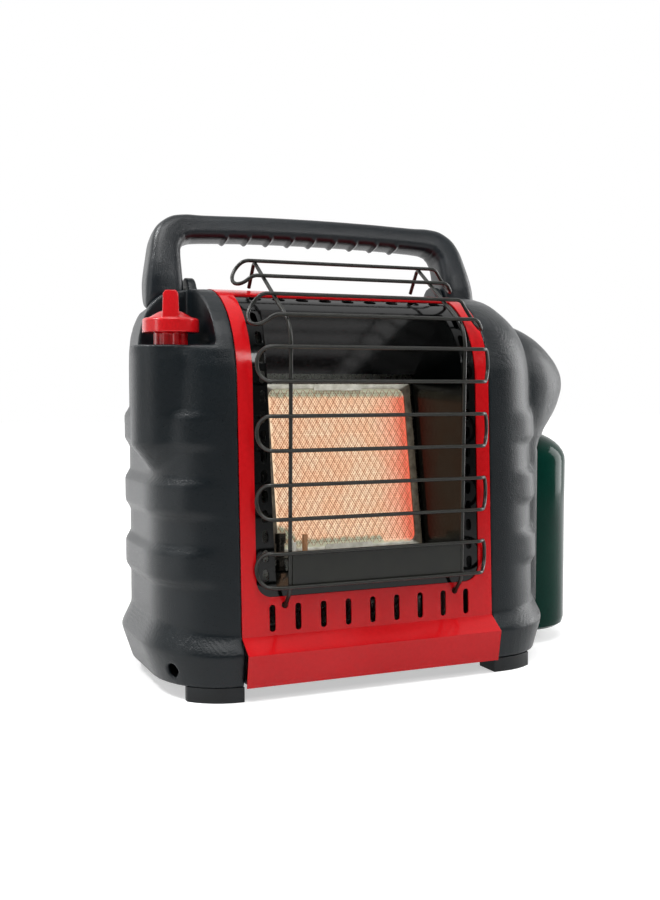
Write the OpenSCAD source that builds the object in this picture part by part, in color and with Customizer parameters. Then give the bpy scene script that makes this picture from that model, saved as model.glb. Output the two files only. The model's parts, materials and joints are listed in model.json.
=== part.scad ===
// Portable propane heater: a ceramic tile burner behind a wire guard, in a sheet steel
// body between two moulded side housings, with a one pound gas cylinder on its side.
// Millimetres. +Z is up, the burner faces -Y, and the ground is z = 0.

/* [Body] */
// Distance from the middle of the cover to the left housing's side wall
left_w = 163.3; // [158:0.1:170]
// Distance from the middle of the cover to the right housing's side wall
right_w = 173.5; // [168:0.1:180]
// Height of the flat top of the body above the ground
body_h = 312.5; // [306:0.5:320]
// Distance from the middle plane to the foot of the front face
front_d = 86.5; // [82:0.5:92]
// How far the front face leans back by the height where the top roll starts
front_lean = 8.5; // [4:0.5:12]
// Radius of the roll from the front face into the top
roll_r = 75; // [65:1:85]
// Distance from the middle plane to the back wall
rear_d = 86; // [82:1:92]
// Radius of the back edge of the top
rear_r = 40; // [30:1:50]
// Width of the shoulders between the side walls and the top
shoulder_w = 38; // [34:1:42]
// Height of the shoulders
shoulder_h = 60; // [54:1:64]
// Squareness of the shoulders, 2 being an ellipse and more a squarer corner
shoulder_power = 2.35; // [2:0.05:2.8]
// Radius of the upright corners of the housings
corner_r = 56; // [45:1:60]
// Height of the feet
foot_h = 11.4; // [8:0.2:16]

/* [Housings] */
// Wall of the moulded housings
wall = 3; // [2.5:0.5:4]
// Height of the outward crease of the base band
band_z = 36; // [32:1:40]
// How far the crease stands out of the wall
band_out = 8.5; // [6:0.5:10]
// Height at which the base flare meets the wall in front
flare_z = 47; // [45:1:52]
// How far the side grip ribs stand out
rib_out = 4; // [3:0.5:5]
// Height of each rib
rib_h = 29; // [24:1:32]
// Height of the middle of the lowest rib
rib_low_z = 100; // [94:1:104]
// Distance between the middles of two ribs
rib_pitch = 51; // [46:1:54]

/* [Cover] */
// Width of the steel cover between the housings
cover_w = 216.8; // [208:0.2:222]
// Thickness of the cover, back, pan and reflector sheets
sheet = 1.2; // [0.8:0.1:1.6]
// Width of the window in the cover
window_w = 193; // [186:1:196]
// Height of the lower edge of the window
window_z = 76; // [74:0.5:80]
// How far the toe stands in front of the foot of the front face
toe_out = 15; // [12:0.5:18]
// Height of the edge of the toe
toe_z = 36.5; // [30:0.5:40]
// Number of air slots under the window
slot_count = 9; // [7:1:9]
// Distance between two slots
slot_pitch = 21; // [18:0.5:22]
// Height of each slot
slot_h = 20.5; // [16:0.5:22]
// Width of each slot
slot_w = 5; // [4:0.5:7]

/* [Burner] */
// Width of the ceramic tile
tile_w = 126; // [116:1:130]
// Height of the ceramic tile
tile_h = 128; // [116:1:132]
// Thickness of the ceramic tile
tile_t = 13; // [10:1:14]
// How far the burner leans back, in degrees
tile_lean = 10.5; // [6:0.5:14]
// Width of the metal rim round the tile
rim_w = 5; // [4:0.5:6]

/* [Guard] */
// Diameter of the guard wire
wire_d = 3; // [2.4:0.2:3.6]
// Height of each guard hoop between its two wires
hoop_h = 25.6; // [24:0.2:26]
// Width of the hoops over their ends
hoop_w = 198.5; // [190:0.5:200]
// Distance between the two uprights
upright_gap = 147.6; // [138:0.2:152]

/* [Handle] */
// Height of the top of the handle above the ground
handle_h = 380; // [374:1:388]
// Depth of the handle, front to back
handle_d = 32; // [28:1:33]
// How far the raised handle leans back, in degrees
handle_lean = 16; // [12:1:20]
// Thickness of the grip, top to bottom
grip_t = 20.5; // [19:0.5:23]
// Distance from the middle plane of the body back to the handle's pivots
pivot_y = 28; // [24:1:32]
// Diameter of the pivot pins
pin_d = 8; // [6:0.5:9]
// Number of finger ribs under the grip
finger_count = 9; // [7:1:9]

/* [Control knob] */
// Diameter of the knob's disc
knob_d = 43; // [38:1:44]
// Total height of the knob
knob_h = 42; // [38:1:46]
// Downward travel of the knob
knob_travel = 4; // [3:0.5:5]
// Diameter of the valve stem
stem_d = 6; // [5:0.5:8]

/* [Gas cylinder] */
// Diameter of the cylinder
tank_d = 98.4; // [94:0.2:100]
// Height of the cylinder's straight side
tank_side_h = 153; // [146:1:158]
// Height of the bottom of the cylinder above the ground
tank_z = 13; // [11:0.5:16]
// Distance of the cylinder's axis from the side wall of the housing
tank_off = 23.3; // [21:0.1:27]
// Gap between the cylinder and its cradle
cradle_gap = 3.3; // [3:0.1:5]
// Diameter of the regulator's diaphragm case
reg_d = 48; // [42:1:50]

/* [Hidden] */
$fn = 48;
charcoal = "#2b3134";
steel_red = "#c0202a";
knob_red = "#dd2430";
enamel = "#141515";
wire_black = "#23261f";
zinc = "#b9bab2";
brass = "#b99a4c";
ceramic = "#f0a27c";
tank_green = "#12352c";
rubber_black = "#1c1e1f";

half = cover_w / 2;
shoulder_z = body_h - shoulder_h;
roll_z = body_h - roll_r;
roll_y = roll_r - front_d + front_lean;
rear_z = body_h - rear_r;
rear_top_y = rear_d - rear_r;
fit_gap = 0.4;
run_gap = 0.05;

// Row origin: the middle of the box round the whole part.
tank_x = right_w + tank_off;
tank_y = 22.7;
tank_r = tank_d / 2;
bulge_x = 150;
bulge_r = 28;
left_reach = max(left_w + band_out, bulge_x + bulge_r);
box_mid_x = (tank_x + tank_r - left_reach) / 2;
guard_y = -(front_d + 12.3);
wire_r = wire_d / 2;
bend_swell = 0.02;
hoop_lean = 1;
front_reach = front_d + toe_out;
guard_reach = -guard_y + 7 * hoop_h * sin(hoop_lean) + wire_r + bend_swell;
rear_reach = rear_d + band_out;
box_mid_y = (rear_reach - max(front_reach, guard_reach)) / 2;

module seat() {
    translate([-box_mid_x, -box_mid_y, 0])
        children();
}

// ---- Lofted skins -------------------------------------------------------------------

// Joins a stack of closed rings, each counter-clockwise seen from the stack's far end.
module skin(rings) {
    n = len(rings[0]);
    m = len(rings);
    walls = [for (i = [0 : m - 2]) for (j = [0 : n - 1])
        let (a = i * n + j, b = i * n + (j + 1) % n)
        each [[a, a + n, b + n], [a, b + n, b]]];
    low = [[for (j = [0 : n - 1]) j]];
    top = [[for (j = [n - 1 : -1 : 0]) (m - 1) * n + j]];
    polyhedron(points = [for (r = rings) each r], faces = concat(walls, low, top));
}

function blend(a, b, t) = a + (b - a) * t;
function step(t) = let (u = max(0, min(1, t))) u * u * (3 - 2 * u);

// Reach of a housing whose wall is at side, and the body's front and back, at a height.
function side_at(z, side) = z <= shoulder_z ? side
    : side - shoulder_w + shoulder_w * pow(max(0, 1 - pow((z - shoulder_z) / shoulder_h,
        shoulder_power)), 1 / shoulder_power);
function front_at(z) = z <= roll_z
    ? -front_d + front_lean * max(0, z - flare_z) / (roll_z - flare_z)
    : roll_y - sqrt(max(0, roll_r * roll_r - (z - roll_z) * (z - roll_z)));
function rear_at(z) = z <= rear_z ? rear_d
    : rear_top_y + sqrt(max(0, rear_r * rear_r - (z - rear_z) * (z - rear_z)));

// A point of a housing's outline. turn runs from 0 in front to 90 at the side and 180
// behind. A level holds [z in front, z at the side, swell in front, swell at the side, rib].
function rib_fade(turn) = step((turn - 15) / 32) * step((165 - turn) / 32);
function housing_point(level, turn, inset, edge, side) =
    let (s = sin(turn) * sin(turn),
         z = blend(level[0], level[1], s),
         zs = z > shoulder_z ? min(body_h, z + inset) : z,
         out = blend(level[2], level[3], s) + level[4] * rib_fade(turn),
         w = side_at(zs, side) - inset,
         f = front_at(zs) + inset,
         r = rear_at(zs) - inset,
         ax = max(1, min(corner_r - inset, w - half - 0.8)),
         ay = min(corner_r - inset, 0.46 * (r - f)),
         x = w - ax + (ax + out) * sin(turn),
         y = (turn <= 90 ? f + ay : r - ay) - (ay + out) * cos(turn))
    [edge ? half - (inset > 0 ? 2 : 0) : x, y, z];
function housing_ring(level, inset, n, side) = concat(
    [housing_point(level, 0, inset, true, side)],
    [for (k = [0 : n]) housing_point(level, 90 * k / n, inset, false, side)],
    [for (k = [0 : n]) housing_point(level, max(90.001, 90 + 90 * k / n), inset, false, side)],
    [housing_point(level, 180, inset, true, side)]);

band_levels = [[foot_h, foot_h, 5, -1, 0], [band_z - 1, band_z + 2, band_out, band_out - 0.5, 0],
               [band_z + 1.5, band_z + 5, band_out - 0.7, band_out - 1.2, 0],
               [flare_z, flare_z + 10, 0, 0, 0]];
rib_steps = [[-0.5, 0], [-0.44, 0.55], [-0.34, 1], [0.34, 1], [0.44, 0.55], [0.5, 0]];
rib_levels = [for (k = [0 : 2]) for (s = rib_steps)
    let (z = rib_low_z + rib_pitch * k + rib_h * s[0]) [z, z, 0, 0, rib_out * s[1]]];
top_part = [0, 0.17, 0.34, 0.49, 0.62, 0.73, 0.82, 0.89, 0.945, 0.98, 1];
top_levels = [for (t = top_part) let (z = blend(roll_z, body_h, t)) [z, z, 0, 0, 0]];
housing_levels = concat(band_levels, rib_levels, top_levels);
inner_levels = concat([[foot_h + wall, foot_h + wall, 5, -1, 0],
                       [band_z, band_z + 3, band_out - 1, band_out - 1.5, 0],
                       [flare_z + 2, flare_z + 12, 0, 0, 0]],
                      [for (t = [0, 0.25, 0.5, 0.68, 0.82, 0.92, 1])
                          let (z = blend(roll_z, body_h - wall, t)) [z, z, 0, 0, 0]]);

module housing_skin(side) {
    skin([for (l = housing_levels) housing_ring(l, 0, 12, side)]);
}

module housing_room(inset, side) {
    skin([for (l = inner_levels) housing_ring(l, inset, 6, side)]);
}

// ---- Handle pivots, shared by the housings, the pins and the handle --------------------

pivot_z = body_h - 1.5;
ear_gap = 2.4;
ear_x = half + ear_gap;
ear_w = 7.4;
arm_x = ear_x + ear_w + fit_gap;
arm_w = 33;
knuckle_r = 13.5;
arm_room = 0.9;

module ear() {
    translate([ear_x, pivot_y, pivot_z])
        rotate([0, 90, 0])
            cylinder(h = ear_w, r = knuckle_r - 0.5);
    translate([ear_x, pivot_y - knuckle_r + 0.5, pivot_z - knuckle_r - 4])
        cube([ear_w, 2 * knuckle_r - 1, knuckle_r + 4]);
}

module arm_channel() {
    translate([arm_x - fit_gap, pivot_y, pivot_z])
        rotate([0, 90, 0])
            cylinder(h = arm_w + 20, r = knuckle_r + arm_room);
    translate([arm_x - fit_gap, pivot_y, pivot_z - knuckle_r - arm_room])
        cube([arm_w + 20, 90, 60]);
    translate([arm_x - fit_gap, pivot_y - knuckle_r - arm_room, pivot_z])
        cube([arm_w + 20, 40, 60]);
}

// ---- Control knob and its pocket -------------------------------------------------------

knob_x = 148;
knob_y = -38;
bulge_y = -33;
shelf_z = 266;
pocket_x = 122;
pocket_y = 6;
skirt_room = 1.5;
bulge_low = 190;

module knob_axis(z) {
    translate([knob_x, knob_y, z])
        children();
}

module bulge_axis(z) {
    translate([bulge_x, bulge_y, z])
        children();
}

// Everything above the shelf, outwards and forwards of the pocket's two walls.
module knob_pocket(inset) {
    translate([pocket_x - inset, -front_d - 30, shelf_z - inset])
        cube([90, front_d + 30 + pocket_y + inset, 90]);
}

// ---- Gas cylinder cradle and regulator dome ---------------------------------------------

cradle_r = tank_r + cradle_gap;
tank_top_z = tank_z + tank_side_h;
swing_z = tank_top_z + 74;
room_r = reg_d / 2 + 10;
dome_x = tank_x - 21.8;
dome_b = cradle_r + 6;
dome_z = swing_z - 7;

// Dome and cradle outline at each height: [z, reach to the side, half depth].
pod_rings = [[foot_h, 33, 49], [24, 38, 55], [44, 40.5, dome_b], [swing_z - 55, 40.5, dome_b],
             [swing_z - 41, 46, dome_b], [swing_z - 23, 59, dome_b], [dome_z, 65.5, dome_b],
             [dome_z + 12, 65, dome_b - 2], [dome_z + 24, 58.5, dome_b - 6],
             [dome_z + 35, 48.5, dome_b - 12], [dome_z + 44, 38, dome_b - 19],
             [dome_z + 51, 26.5, dome_b - 28], [dome_z + 56.5, 14, dome_b - 38],
             [dome_z + 59.5, 4, dome_b - 48]];
recess_profile = [[0, -5], [cradle_r, -5], [cradle_r, tank_top_z + 15],
                  [cradle_r - 3, tank_top_z + 22], [cradle_r - 7, tank_top_z + 29],
                  [cradle_r - 12, tank_top_z + 37], [room_r, tank_top_z + 45],
                  [room_r, swing_z + 5], [room_r - 4, swing_z + 15],
                  [room_r - 10, swing_z + 23], [room_r - 18, swing_z + 29], [0, swing_z + 31]];
recess_wall = [[0, foot_h], [cradle_r + wall, foot_h], [cradle_r + wall, tank_top_z + 17],
               [room_r + wall, tank_top_z + 49], [room_r + wall, swing_z + 6],
               [room_r - 7, swing_z + 28], [0, swing_z + 34]];

module tank_axis() {
    translate([tank_x, tank_y, 0])
        children();
}

module pod_skin() {
    n = 26;
    skin([for (p = pod_rings) [for (k = [0 : n - 1]) let (a = 360 * k / n)
        [dome_x + p[1] * cos(a) * (cos(a) > 0 ? 1 : 30 / p[1]), tank_y + p[2] * sin(a), p[0]]]]);
}

module recess() {
    tank_axis()
        rotate_extrude()
            polygon(recess_profile);
}

// ---- Side housings ----------------------------------------------------------------------

screw_z = 23;
screw_head_r = 3.6;
screw_y = 60;

module band_screw_hole(side, y) {
    translate([side - 17, y, screw_z])
        rotate([0, 90, y < 0 ? -28 : 28])
            cylinder(h = 30, r = screw_head_r + 1.6);
}

module left_housing() {
    color(charcoal)
        seat()
            mirror([1, 0, 0])
                difference() {
                    union() {
                        housing_skin(left_w);
                        ear();
                        bulge_axis(bulge_low)
                            cylinder(h = shelf_z - bulge_low, r = bulge_r);
                        bulge_axis(bulge_low - 18)
                            cylinder(h = 18.01, r1 = bulge_r - 14, r2 = bulge_r);
                    }
                    difference() {
                        union() {
                            housing_room(wall, left_w);
                            bulge_axis(bulge_low + wall)
                                cylinder(h = shelf_z - bulge_low - 2 * wall, r = bulge_r - wall);
                        }
                        knob_pocket(wall);
                        translate([half - 3, pivot_y - 20, pivot_z - knuckle_r - wall - 1])
                            cube([80, 100, 60]);
                    }
                    arm_channel();
                    knob_pocket(0);
                    knob_axis(shelf_z - 2 * wall)
                        cylinder(h = 30, r = skirt_hole_r);
                    pin_bore();
                    band_screw_hole(left_w, -screw_y);
                    band_screw_hole(left_w, screw_y);
                }
}

module right_housing() {
    color(charcoal)
        seat()
            difference() {
                union() {
                    housing_skin(right_w);
                    ear();
                    pod_skin();
                }
                difference() {
                    housing_room(wall, right_w);
                    tank_axis()
                        rotate_extrude()
                            polygon(recess_wall);
                    translate([half - 3, pivot_y - 20, pivot_z - knuckle_r - wall - 1])
                        cube([80, 100, 60]);
                }
                recess();
                arm_channel();
                pin_bore();
                swivel_bore();
                band_screw_hole(right_w, -screw_y);
            }
}

module pin_bore() {
    translate([ear_x - 1, pivot_y, pivot_z])
        rotate([0, 90, 0])
            cylinder(h = ear_w + 2, r = pin_d / 2);
}

spindle_r = 5;
spindle_seat = 8;
supply_r = 3;
supply_y = tank_y + 24;

module swivel_bore() {
    translate([tank_x, tank_y, swing_z])
        rotate([-90, 0, 0])
            cylinder(h = room_r + spindle_seat, r = spindle_r);
    translate([half, supply_y, swing_z])
        rotate([0, 90, 0])
            cylinder(h = tank_x - half, r = supply_r + 1.5);
}

// ---- Sheet metal ------------------------------------------------------------------------

cover_back_y = rear_top_y - 8;

module along_x(w) {
    rotate([90, 0, 90])
        linear_extrude(height = w, center = true)
            children();
}

// The body's side view, drawn in from its surface and run across the cover.
module body_block(w, inset, low) {
    along_x(w)
        polygon([[-front_d + inset, low], [-front_d + inset, flare_z],
                 [roll_y - roll_r + inset, roll_z], [roll_y, roll_z],
                 [roll_y, body_h - inset], [rear_top_y, body_h - inset],
                 [rear_top_y, rear_z], [rear_d - inset, rear_z], [rear_d - inset, low]]);
    translate([0, roll_y, roll_z])
        rotate([0, 90, 0])
            cylinder(h = w, r = roll_r - inset, center = true);
    translate([0, rear_top_y, rear_z])
        rotate([0, 90, 0])
            cylinder(h = w, r = rear_r - inset, center = true);
}

module toe_section(inset, low) {
    polygon([[-front_reach + 4.5 + inset, low], [-front_reach + inset, toe_z],
             [-front_d + inset, flare_z - inset / 2], [0, flare_z - inset / 2], [0, low]]);
}

module slot(w, h) {
    square([w, h - w], center = true);
    for (s = [-1, 1])
        translate([0, s * (h - w) / 2])
            circle(r = w / 2);
}

window_r = 13;
slot_z = (flare_z + window_z) / 2 - 1.5;

module window_shape(w, low, high, r) {
    translate([-w / 2, low + r])
        square([w, high - low - r]);
    translate([-w / 2 + r, low])
        square([w - 2 * r, r + 1]);
    for (s = [-1, 1])
        translate([s * (w / 2 - r), low + r])
            circle(r = r);
}

window_back = roll_y - roll_r * 0.39;
upright_hole_z = window_z - 6.5;

module front_cover() {
    color(steel_red)
        seat()
            difference() {
                union() {
                    body_block(cover_w, 0, flare_z - 1);
                    along_x(cover_w)
                        toe_section(0, foot_h);
                }
                body_block(cover_w + 2, sheet, flare_z - 1);
                along_x(cover_w + 2)
                    toe_section(sheet, foot_h - 1);
                translate([-cover_w, cover_back_y, -1])
                    cube([2 * cover_w, 2 * rear_d, 2 * body_h]);
                translate([0, window_back, 0])
                    rotate([90, 0, 0])
                        linear_extrude(height = 2 * front_d)
                            window_shape(window_w, window_z, body_h + 20, window_r);
                for (i = [0 : slot_count - 1])
                    translate([(i - (slot_count - 1) / 2) * slot_pitch, 0, slot_z])
                        rotate([90, 0, 0])
                            linear_extrude(height = 2 * front_d)
                                slot(slot_w, slot_h);
                for (s = [-1, 1])
                    translate([s * upright_gap / 2, 0, upright_hole_z])
                        rotate([90, 0, 0])
                            cylinder(h = 2 * front_d, r = wire_d / 2 + 1.2);
            }
}

vent_count = 11;

module rear_cover() {
    color(enamel)
        seat()
            difference() {
                body_block(cover_w, 0, foot_h);
                body_block(cover_w + 2, sheet, foot_h - 1);
                translate([-cover_w, cover_back_y - 2 * rear_d, -1])
                    cube([2 * cover_w, 2 * rear_d, 2 * body_h]);
                for (z = [70, 210])
                    for (i = [0 : vent_count - 1])
                        translate([(i - (vent_count - 1) / 2) * 16, rear_d + 5, z])
                            rotate([90, 0, 0])
                                linear_extrude(height = 20)
                                    slot(5, 46);
            }
}

pan_z = foot_h + wall;
pan_tab = 34;
tab_d = 28;
tab_front = 22;
tab_back = 50;

module base_pan() {
    color("#3a3d3f")
        seat() {
            translate([-half, -front_reach + 6.4, pan_z])
                cube([cover_w, front_reach - 6.4 + rear_d - sheet, sheet]);
            for (s = [-1, 1])
                for (y = [-rear_d + tab_front, rear_d - tab_back])
                    translate([s < 0 ? -half - pan_tab : half, y, pan_z])
                        cube([pan_tab, tab_d, sheet]);
            translate([-half + 4, rear_d - 2 * sheet, pan_z])
                cube([cover_w - 8, sheet, 16]);
        }
}

foot_w = 39;
foot_l = 24;

module feet() {
    color(rubber_black)
        seat()
            for (side = [-left_w, right_w])
                mirror([side < 0 ? 1 : 0, 0, 0])
                    for (y = [-front_d - 5.5, rear_d + 5.5 - foot_l])
                        linear_extrude(height = foot_h)
                            intersection() {
                                polygon([for (p = housing_ring(band_levels[0], 0, 12, abs(side)))
                                    [p[0], p[1]]]);
                                translate([half, y])
                                    square([foot_w, foot_l]);
                            }
}

shield_y = 32;
shield_flange = 14;
shield_gap = 22;

module heat_shield() {
    color(zinc)
        seat()
            translate([0, shield_y, pan_z + sheet]) {
                translate([-half + 3, 0, 0])
                    cube([cover_w - 6, sheet, body_h - pan_z - 2 * sheet - shield_gap]);
                translate([-half + 3, 0, 0])
                    cube([cover_w - 6, shield_flange, sheet]);
            }
}

// ---- Burner -------------------------------------------------------------------------------

tile_y = -28.8;
tile_z = 169;
frame_w = tile_w + 2 * rim_w;
frame_h = tile_h + 2 * rim_w;
frame_t = 3;
plenum_d = 26;
plenum_back = 30;
burner_gap = 1.5;
gas_y = -16;
venturi_r = 9;
venturi_z = 62;
venturi_bend = 22;

module burner_seat() {
    translate([0, tile_y, tile_z])
        rotate([-tile_lean, 0, 0])
            children();
}

// Corner of a burner plane in the body's frame: depth behind the tile's face and height.
function burner_at(y, z) = [tile_y + y * cos(tile_lean) + z * sin(tile_lean),
                            tile_z - y * sin(tile_lean) + z * cos(tile_lean)];

module burner_body() {
    w = frame_w - 2;
    h = frame_h - 2;
    color("#8d8f8a")
        seat()
            difference() {
                burner_seat()
                    translate([0, frame_t, 0])
                        skin([[for (c = [[-1, -1], [1, -1], [1, 1], [-1, 1]])
                                   [c[0] * (w / 2 - plenum_back / 3), plenum_d + 4,
                                    c[1] * (h / 2 - plenum_back / 3)]],
                              [for (c = [[-1, -1], [1, -1], [1, 1], [-1, 1]])
                                   [c[0] * w / 2, 8, c[1] * h / 2]],
                              [for (c = [[-1, -1], [1, -1], [1, 1], [-1, 1]])
                                   [c[0] * w / 2, 0, c[1] * h / 2]]]);
                burner_seat()
                    translate([-tile_w / 2, frame_t - 1, -tile_h / 2])
                        cube([tile_w, tile_t + 1, tile_h]);
                burner_seat()
                    translate([-tile_w / 2 + 12, 0, -tile_h / 2 + 12])
                        cube([tile_w - 24, plenum_d + 1, tile_h - 24]);
                translate([0, gas_y, venturi_z])
                    cylinder(h = tile_z - venturi_z, r = venturi_r);
            }
}

module ceramic_tile() {
    color(ceramic)
        seat()
            burner_seat()
                translate([-tile_w / 2, frame_t, -tile_h / 2])
                    cube([tile_w, tile_t, tile_h]);
}

module burner_frame() {
    lip = 4;
    color(zinc)
        seat()
            burner_seat() {
                difference() {
                    translate([-frame_w / 2, 0, -frame_h / 2])
                        cube([frame_w, frame_t, frame_h]);
                    translate([-tile_w / 2 + 1.5, -1, -tile_h / 2 + lip])
                        cube([tile_w - 3, frame_t + 2, tile_h - 2 * lip]);
                }
                for (s = [-1, 1])
                    translate([-tile_w * 0.3, -2, s * (frame_h / 2 - 5) - 5])
                        cube([tile_w * 0.6, 2, 10]);
            }
}

screen_t = 0.8;
screen_pitch = 11;

module burner_screen() {
    w = tile_w - 3;
    h = tile_h - 8;
    color(zinc)
        seat()
            burner_seat()
                translate([0, screen_t, 0])
                    rotate([90, 0, 0])
                        linear_extrude(height = screen_t)
                            intersection() {
                                square([w, h], center = true);
                                union() {
                                    difference() {
                                        square([w, h], center = true);
                                        square([w - 3, h - 3], center = true);
                                    }
                                    for (a = [-32, 32])
                                        rotate(90 + a)
                                            for (k = [-8 : 8])
                                                translate([0, k * screen_pitch])
                                                    square([2 * h, 0.8], center = true);
                                }
                            }
}

// ---- Bent wires and tubes -----------------------------------------------------------------

// Bends are bend_swell thicker than the straights, which run into them by bend_lap.
bend_lap = 0.2;

// One bend of the wire from +Z towards +X.
module wire_bend(angle, bend_r, r) {
    translate([bend_r, 0, 0])
        rotate([90, 0, 0])
            rotate([0, 0, 180 - angle])
                rotate_extrude(angle = angle)
                    translate([bend_r, 0])
                        circle(r = r + bend_swell);
}

// A wire bender's table: each row is [length, roll, bend angle, bend radius].
module bent_wire(rows, r, closed = false, i = 0) {
    if (i < len(rows)) {
        row = rows[i];
        low = (i > 0 || closed) ? bend_lap : 0;
        high = row[2] > 0 ? bend_lap : 0;
        translate([0, 0, -low])
            cylinder(h = low + row[0] + high, r = r);
        if (row[2] > 0)
            translate([0, 0, row[0]])
                rotate([0, 0, row[1]]) {
                    wire_bend(row[2], row[3], r);
                    translate([row[3] * (1 - cos(row[2])), 0, row[3] * sin(row[2])])
                        rotate([0, row[2], 0])
                            bent_wire(rows, r, closed, i + 1);
                }
    }
}

module venturi_tube() {
    color(zinc)
        seat()
            difference() {
                translate([venturi_bend + 48, gas_y, venturi_z])
                    rotate([0, -90, 0])
                        bent_wire([[48, 0, 90, venturi_bend],
                                   [venturi_end - venturi_z - venturi_bend, 0, 0, 0]],
                                  venturi_r);
                translate([venturi_bend + 49, gas_y, venturi_z])
                    rotate([0, -90, 0])
                        cylinder(h = 45, r = venturi_r - 1.2);
                for (a = [0, 90])
                    translate([venturi_bend + 34, gas_y, venturi_z])
                        rotate([a, 0, 0])
                            cylinder(h = 40, r = 4.5, center = true);
            }
}

venturi_end = burner_at(frame_t + plenum_d / 2, -frame_h / 2)[1] + 6;
orifice_x = venturi_bend + 48;

module burner_orifice() {
    color(brass)
        seat()
            translate([orifice_x, gas_y, venturi_z])
                rotate([0, 90, 0]) {
                    cylinder(h = 12, r = venturi_r, $fn = 6);
                    translate([0, 0, -8])
                        cylinder(h = 8, r = venturi_r - 1.2);
                    translate([0, 0, 12])
                        cylinder(h = 6, r = 5);
                }
}

// ---- Guard --------------------------------------------------------------------------------

hoop_bend = 9;
hoop_corner = 6;
hoop_turn = 50;
hoop_ear = 1;
hoop_z = window_z + 9;
slope_y = guard_y + 5.8;
slope_z = hoop_z + 7 * hoop_h + 24;
slope_turn = 56.3;
apex_run = 83.5;
upright_r = 28;
upright_foot = 41;
apex_turn = 90.3;
hoop_straight = hoop_w / 2 - hoop_bend * sin(hoop_turn)
    - (hoop_ear + hoop_corner) * cos(hoop_turn) - wire_r;

// A closed ring of wire, whose ends step back and turn up.
module hoop(h, less = 0) {
    half_loop = [[2 * (hoop_straight - less), 0, hoop_turn, hoop_bend],
                 [hoop_ear, 90, 90, hoop_corner],
                 [h - 2 * hoop_corner, 0, 90, hoop_corner],
                 [hoop_ear, -90, hoop_turn, hoop_bend]];
    translate([less - hoop_straight, 0, 0])
        rotate([0, 90, 0])
            rotate([0, 0, 90])
                bent_wire(concat(half_loop, half_loop), wire_r, true);
}

module guard_hoops() {
    color(wire_black)
        seat() {
            for (k = [0 : 3])
                translate([0, guard_y - 2 * k * hoop_h * sin(hoop_lean), hoop_z + 2 * k * hoop_h])
                    rotate([hoop_lean, 0, 0])
                        hoop(hoop_h);
            translate([0, slope_y, slope_z])
                rotate([-slope_turn, 0, 0]) {
                    hoop(hoop_h + 5.4);
                    translate([0, 0, apex_run - hoop_h + 1.2])
                        hoop(hoop_h - 1.2, 2.5);
                }
        }
}

module guard_uprights() {
    // Where the leaning upright and the slope meet, one wire behind the hoops.
    inner = wire_d;
    corner_y = slope_y + inner * cos(slope_turn);
    corner_z = slope_z - inner * sin(slope_turn);
    rise_y = guard_y + inner;
    meet = (corner_y - rise_y + (corner_z - hoop_z) * tan(hoop_lean))
        / (sin(slope_turn) + cos(slope_turn) * tan(hoop_lean));
    meet_z = corner_z - meet * cos(slope_turn);
    top_turn = slope_turn + hoop_lean;
    low_turn = upright_foot - hoop_lean;
    low_r = 12;
    low_cut = low_r * tan(low_turn / 2);
    top_cut = upright_r * tan(top_turn / 2);
    foot_run = 23;
    color(wire_black)
        seat()
            for (s = [-1, 1])
                translate([s * upright_gap / 2,
                           rise_y + low_cut * sin(hoop_lean)
                           + (foot_run + low_cut) * sin(upright_foot),
                           hoop_z - low_cut - (foot_run + low_cut) * cos(upright_foot)])
                    rotate([0, 0, 90])
                        rotate([0, -upright_foot, 0])
                            bent_wire([[foot_run, 0, low_turn, low_r],
                                       [(meet_z - hoop_z) / cos(hoop_lean) - top_cut, 0,
                                        top_turn, upright_r],
                                       [apex_run + meet - top_cut, 0, apex_turn, 4],
                                       [apex_drop, 0, 0, 0]], wire_r);
}

apex_drop = 19.5;
plate_t = 1.4;

module guard_plate() {
    color(wire_black)
        seat()
            translate([0, guard_y + wire_r, hoop_z - 1])
                translate([-upright_gap / 2 + wire_r, 0, 0])
                    cube([upright_gap - wire_d, plate_t, hoop_h + 2]);
}

// ---- Reflector ----------------------------------------------------------------------------

mouth_w = 160;
mouth_low = 84;
mouth_high = 294;
slot_step = 15;

// A rectangle across the reflector, drawn as one ring.
function across(w, y_low, z_low, y_high, z_high) = [[-w / 2, y_low, z_low], [w / 2, y_low, z_low],
    [w / 2, y_high, z_high], [-w / 2, y_high, z_high]];

module funnel(grow) {
    behind = grow > 0 ? 1 : 2;
    low = burner_at(behind, -frame_h / 2 - burner_gap);
    high = burner_at(behind, frame_h / 2 + burner_gap);
    mouth_y = [front_at(mouth_low) + 2, front_at(mouth_high) + 2];
    reach = 0.9;
    w = frame_w + 2 * burner_gap;
    skin([across(w + 2 * grow, low[0], low[1] - grow, high[0], high[1] + grow),
          across(blend(w, mouth_w, 1 + reach) + 2 * grow,
                 blend(low[0], mouth_y[0], 1 + reach), blend(low[1], mouth_low, 1 + reach) - grow,
                 blend(high[0], mouth_y[1], 1 + reach),
                 blend(high[1], mouth_high, 1 + reach) + grow)]);
}

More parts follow.
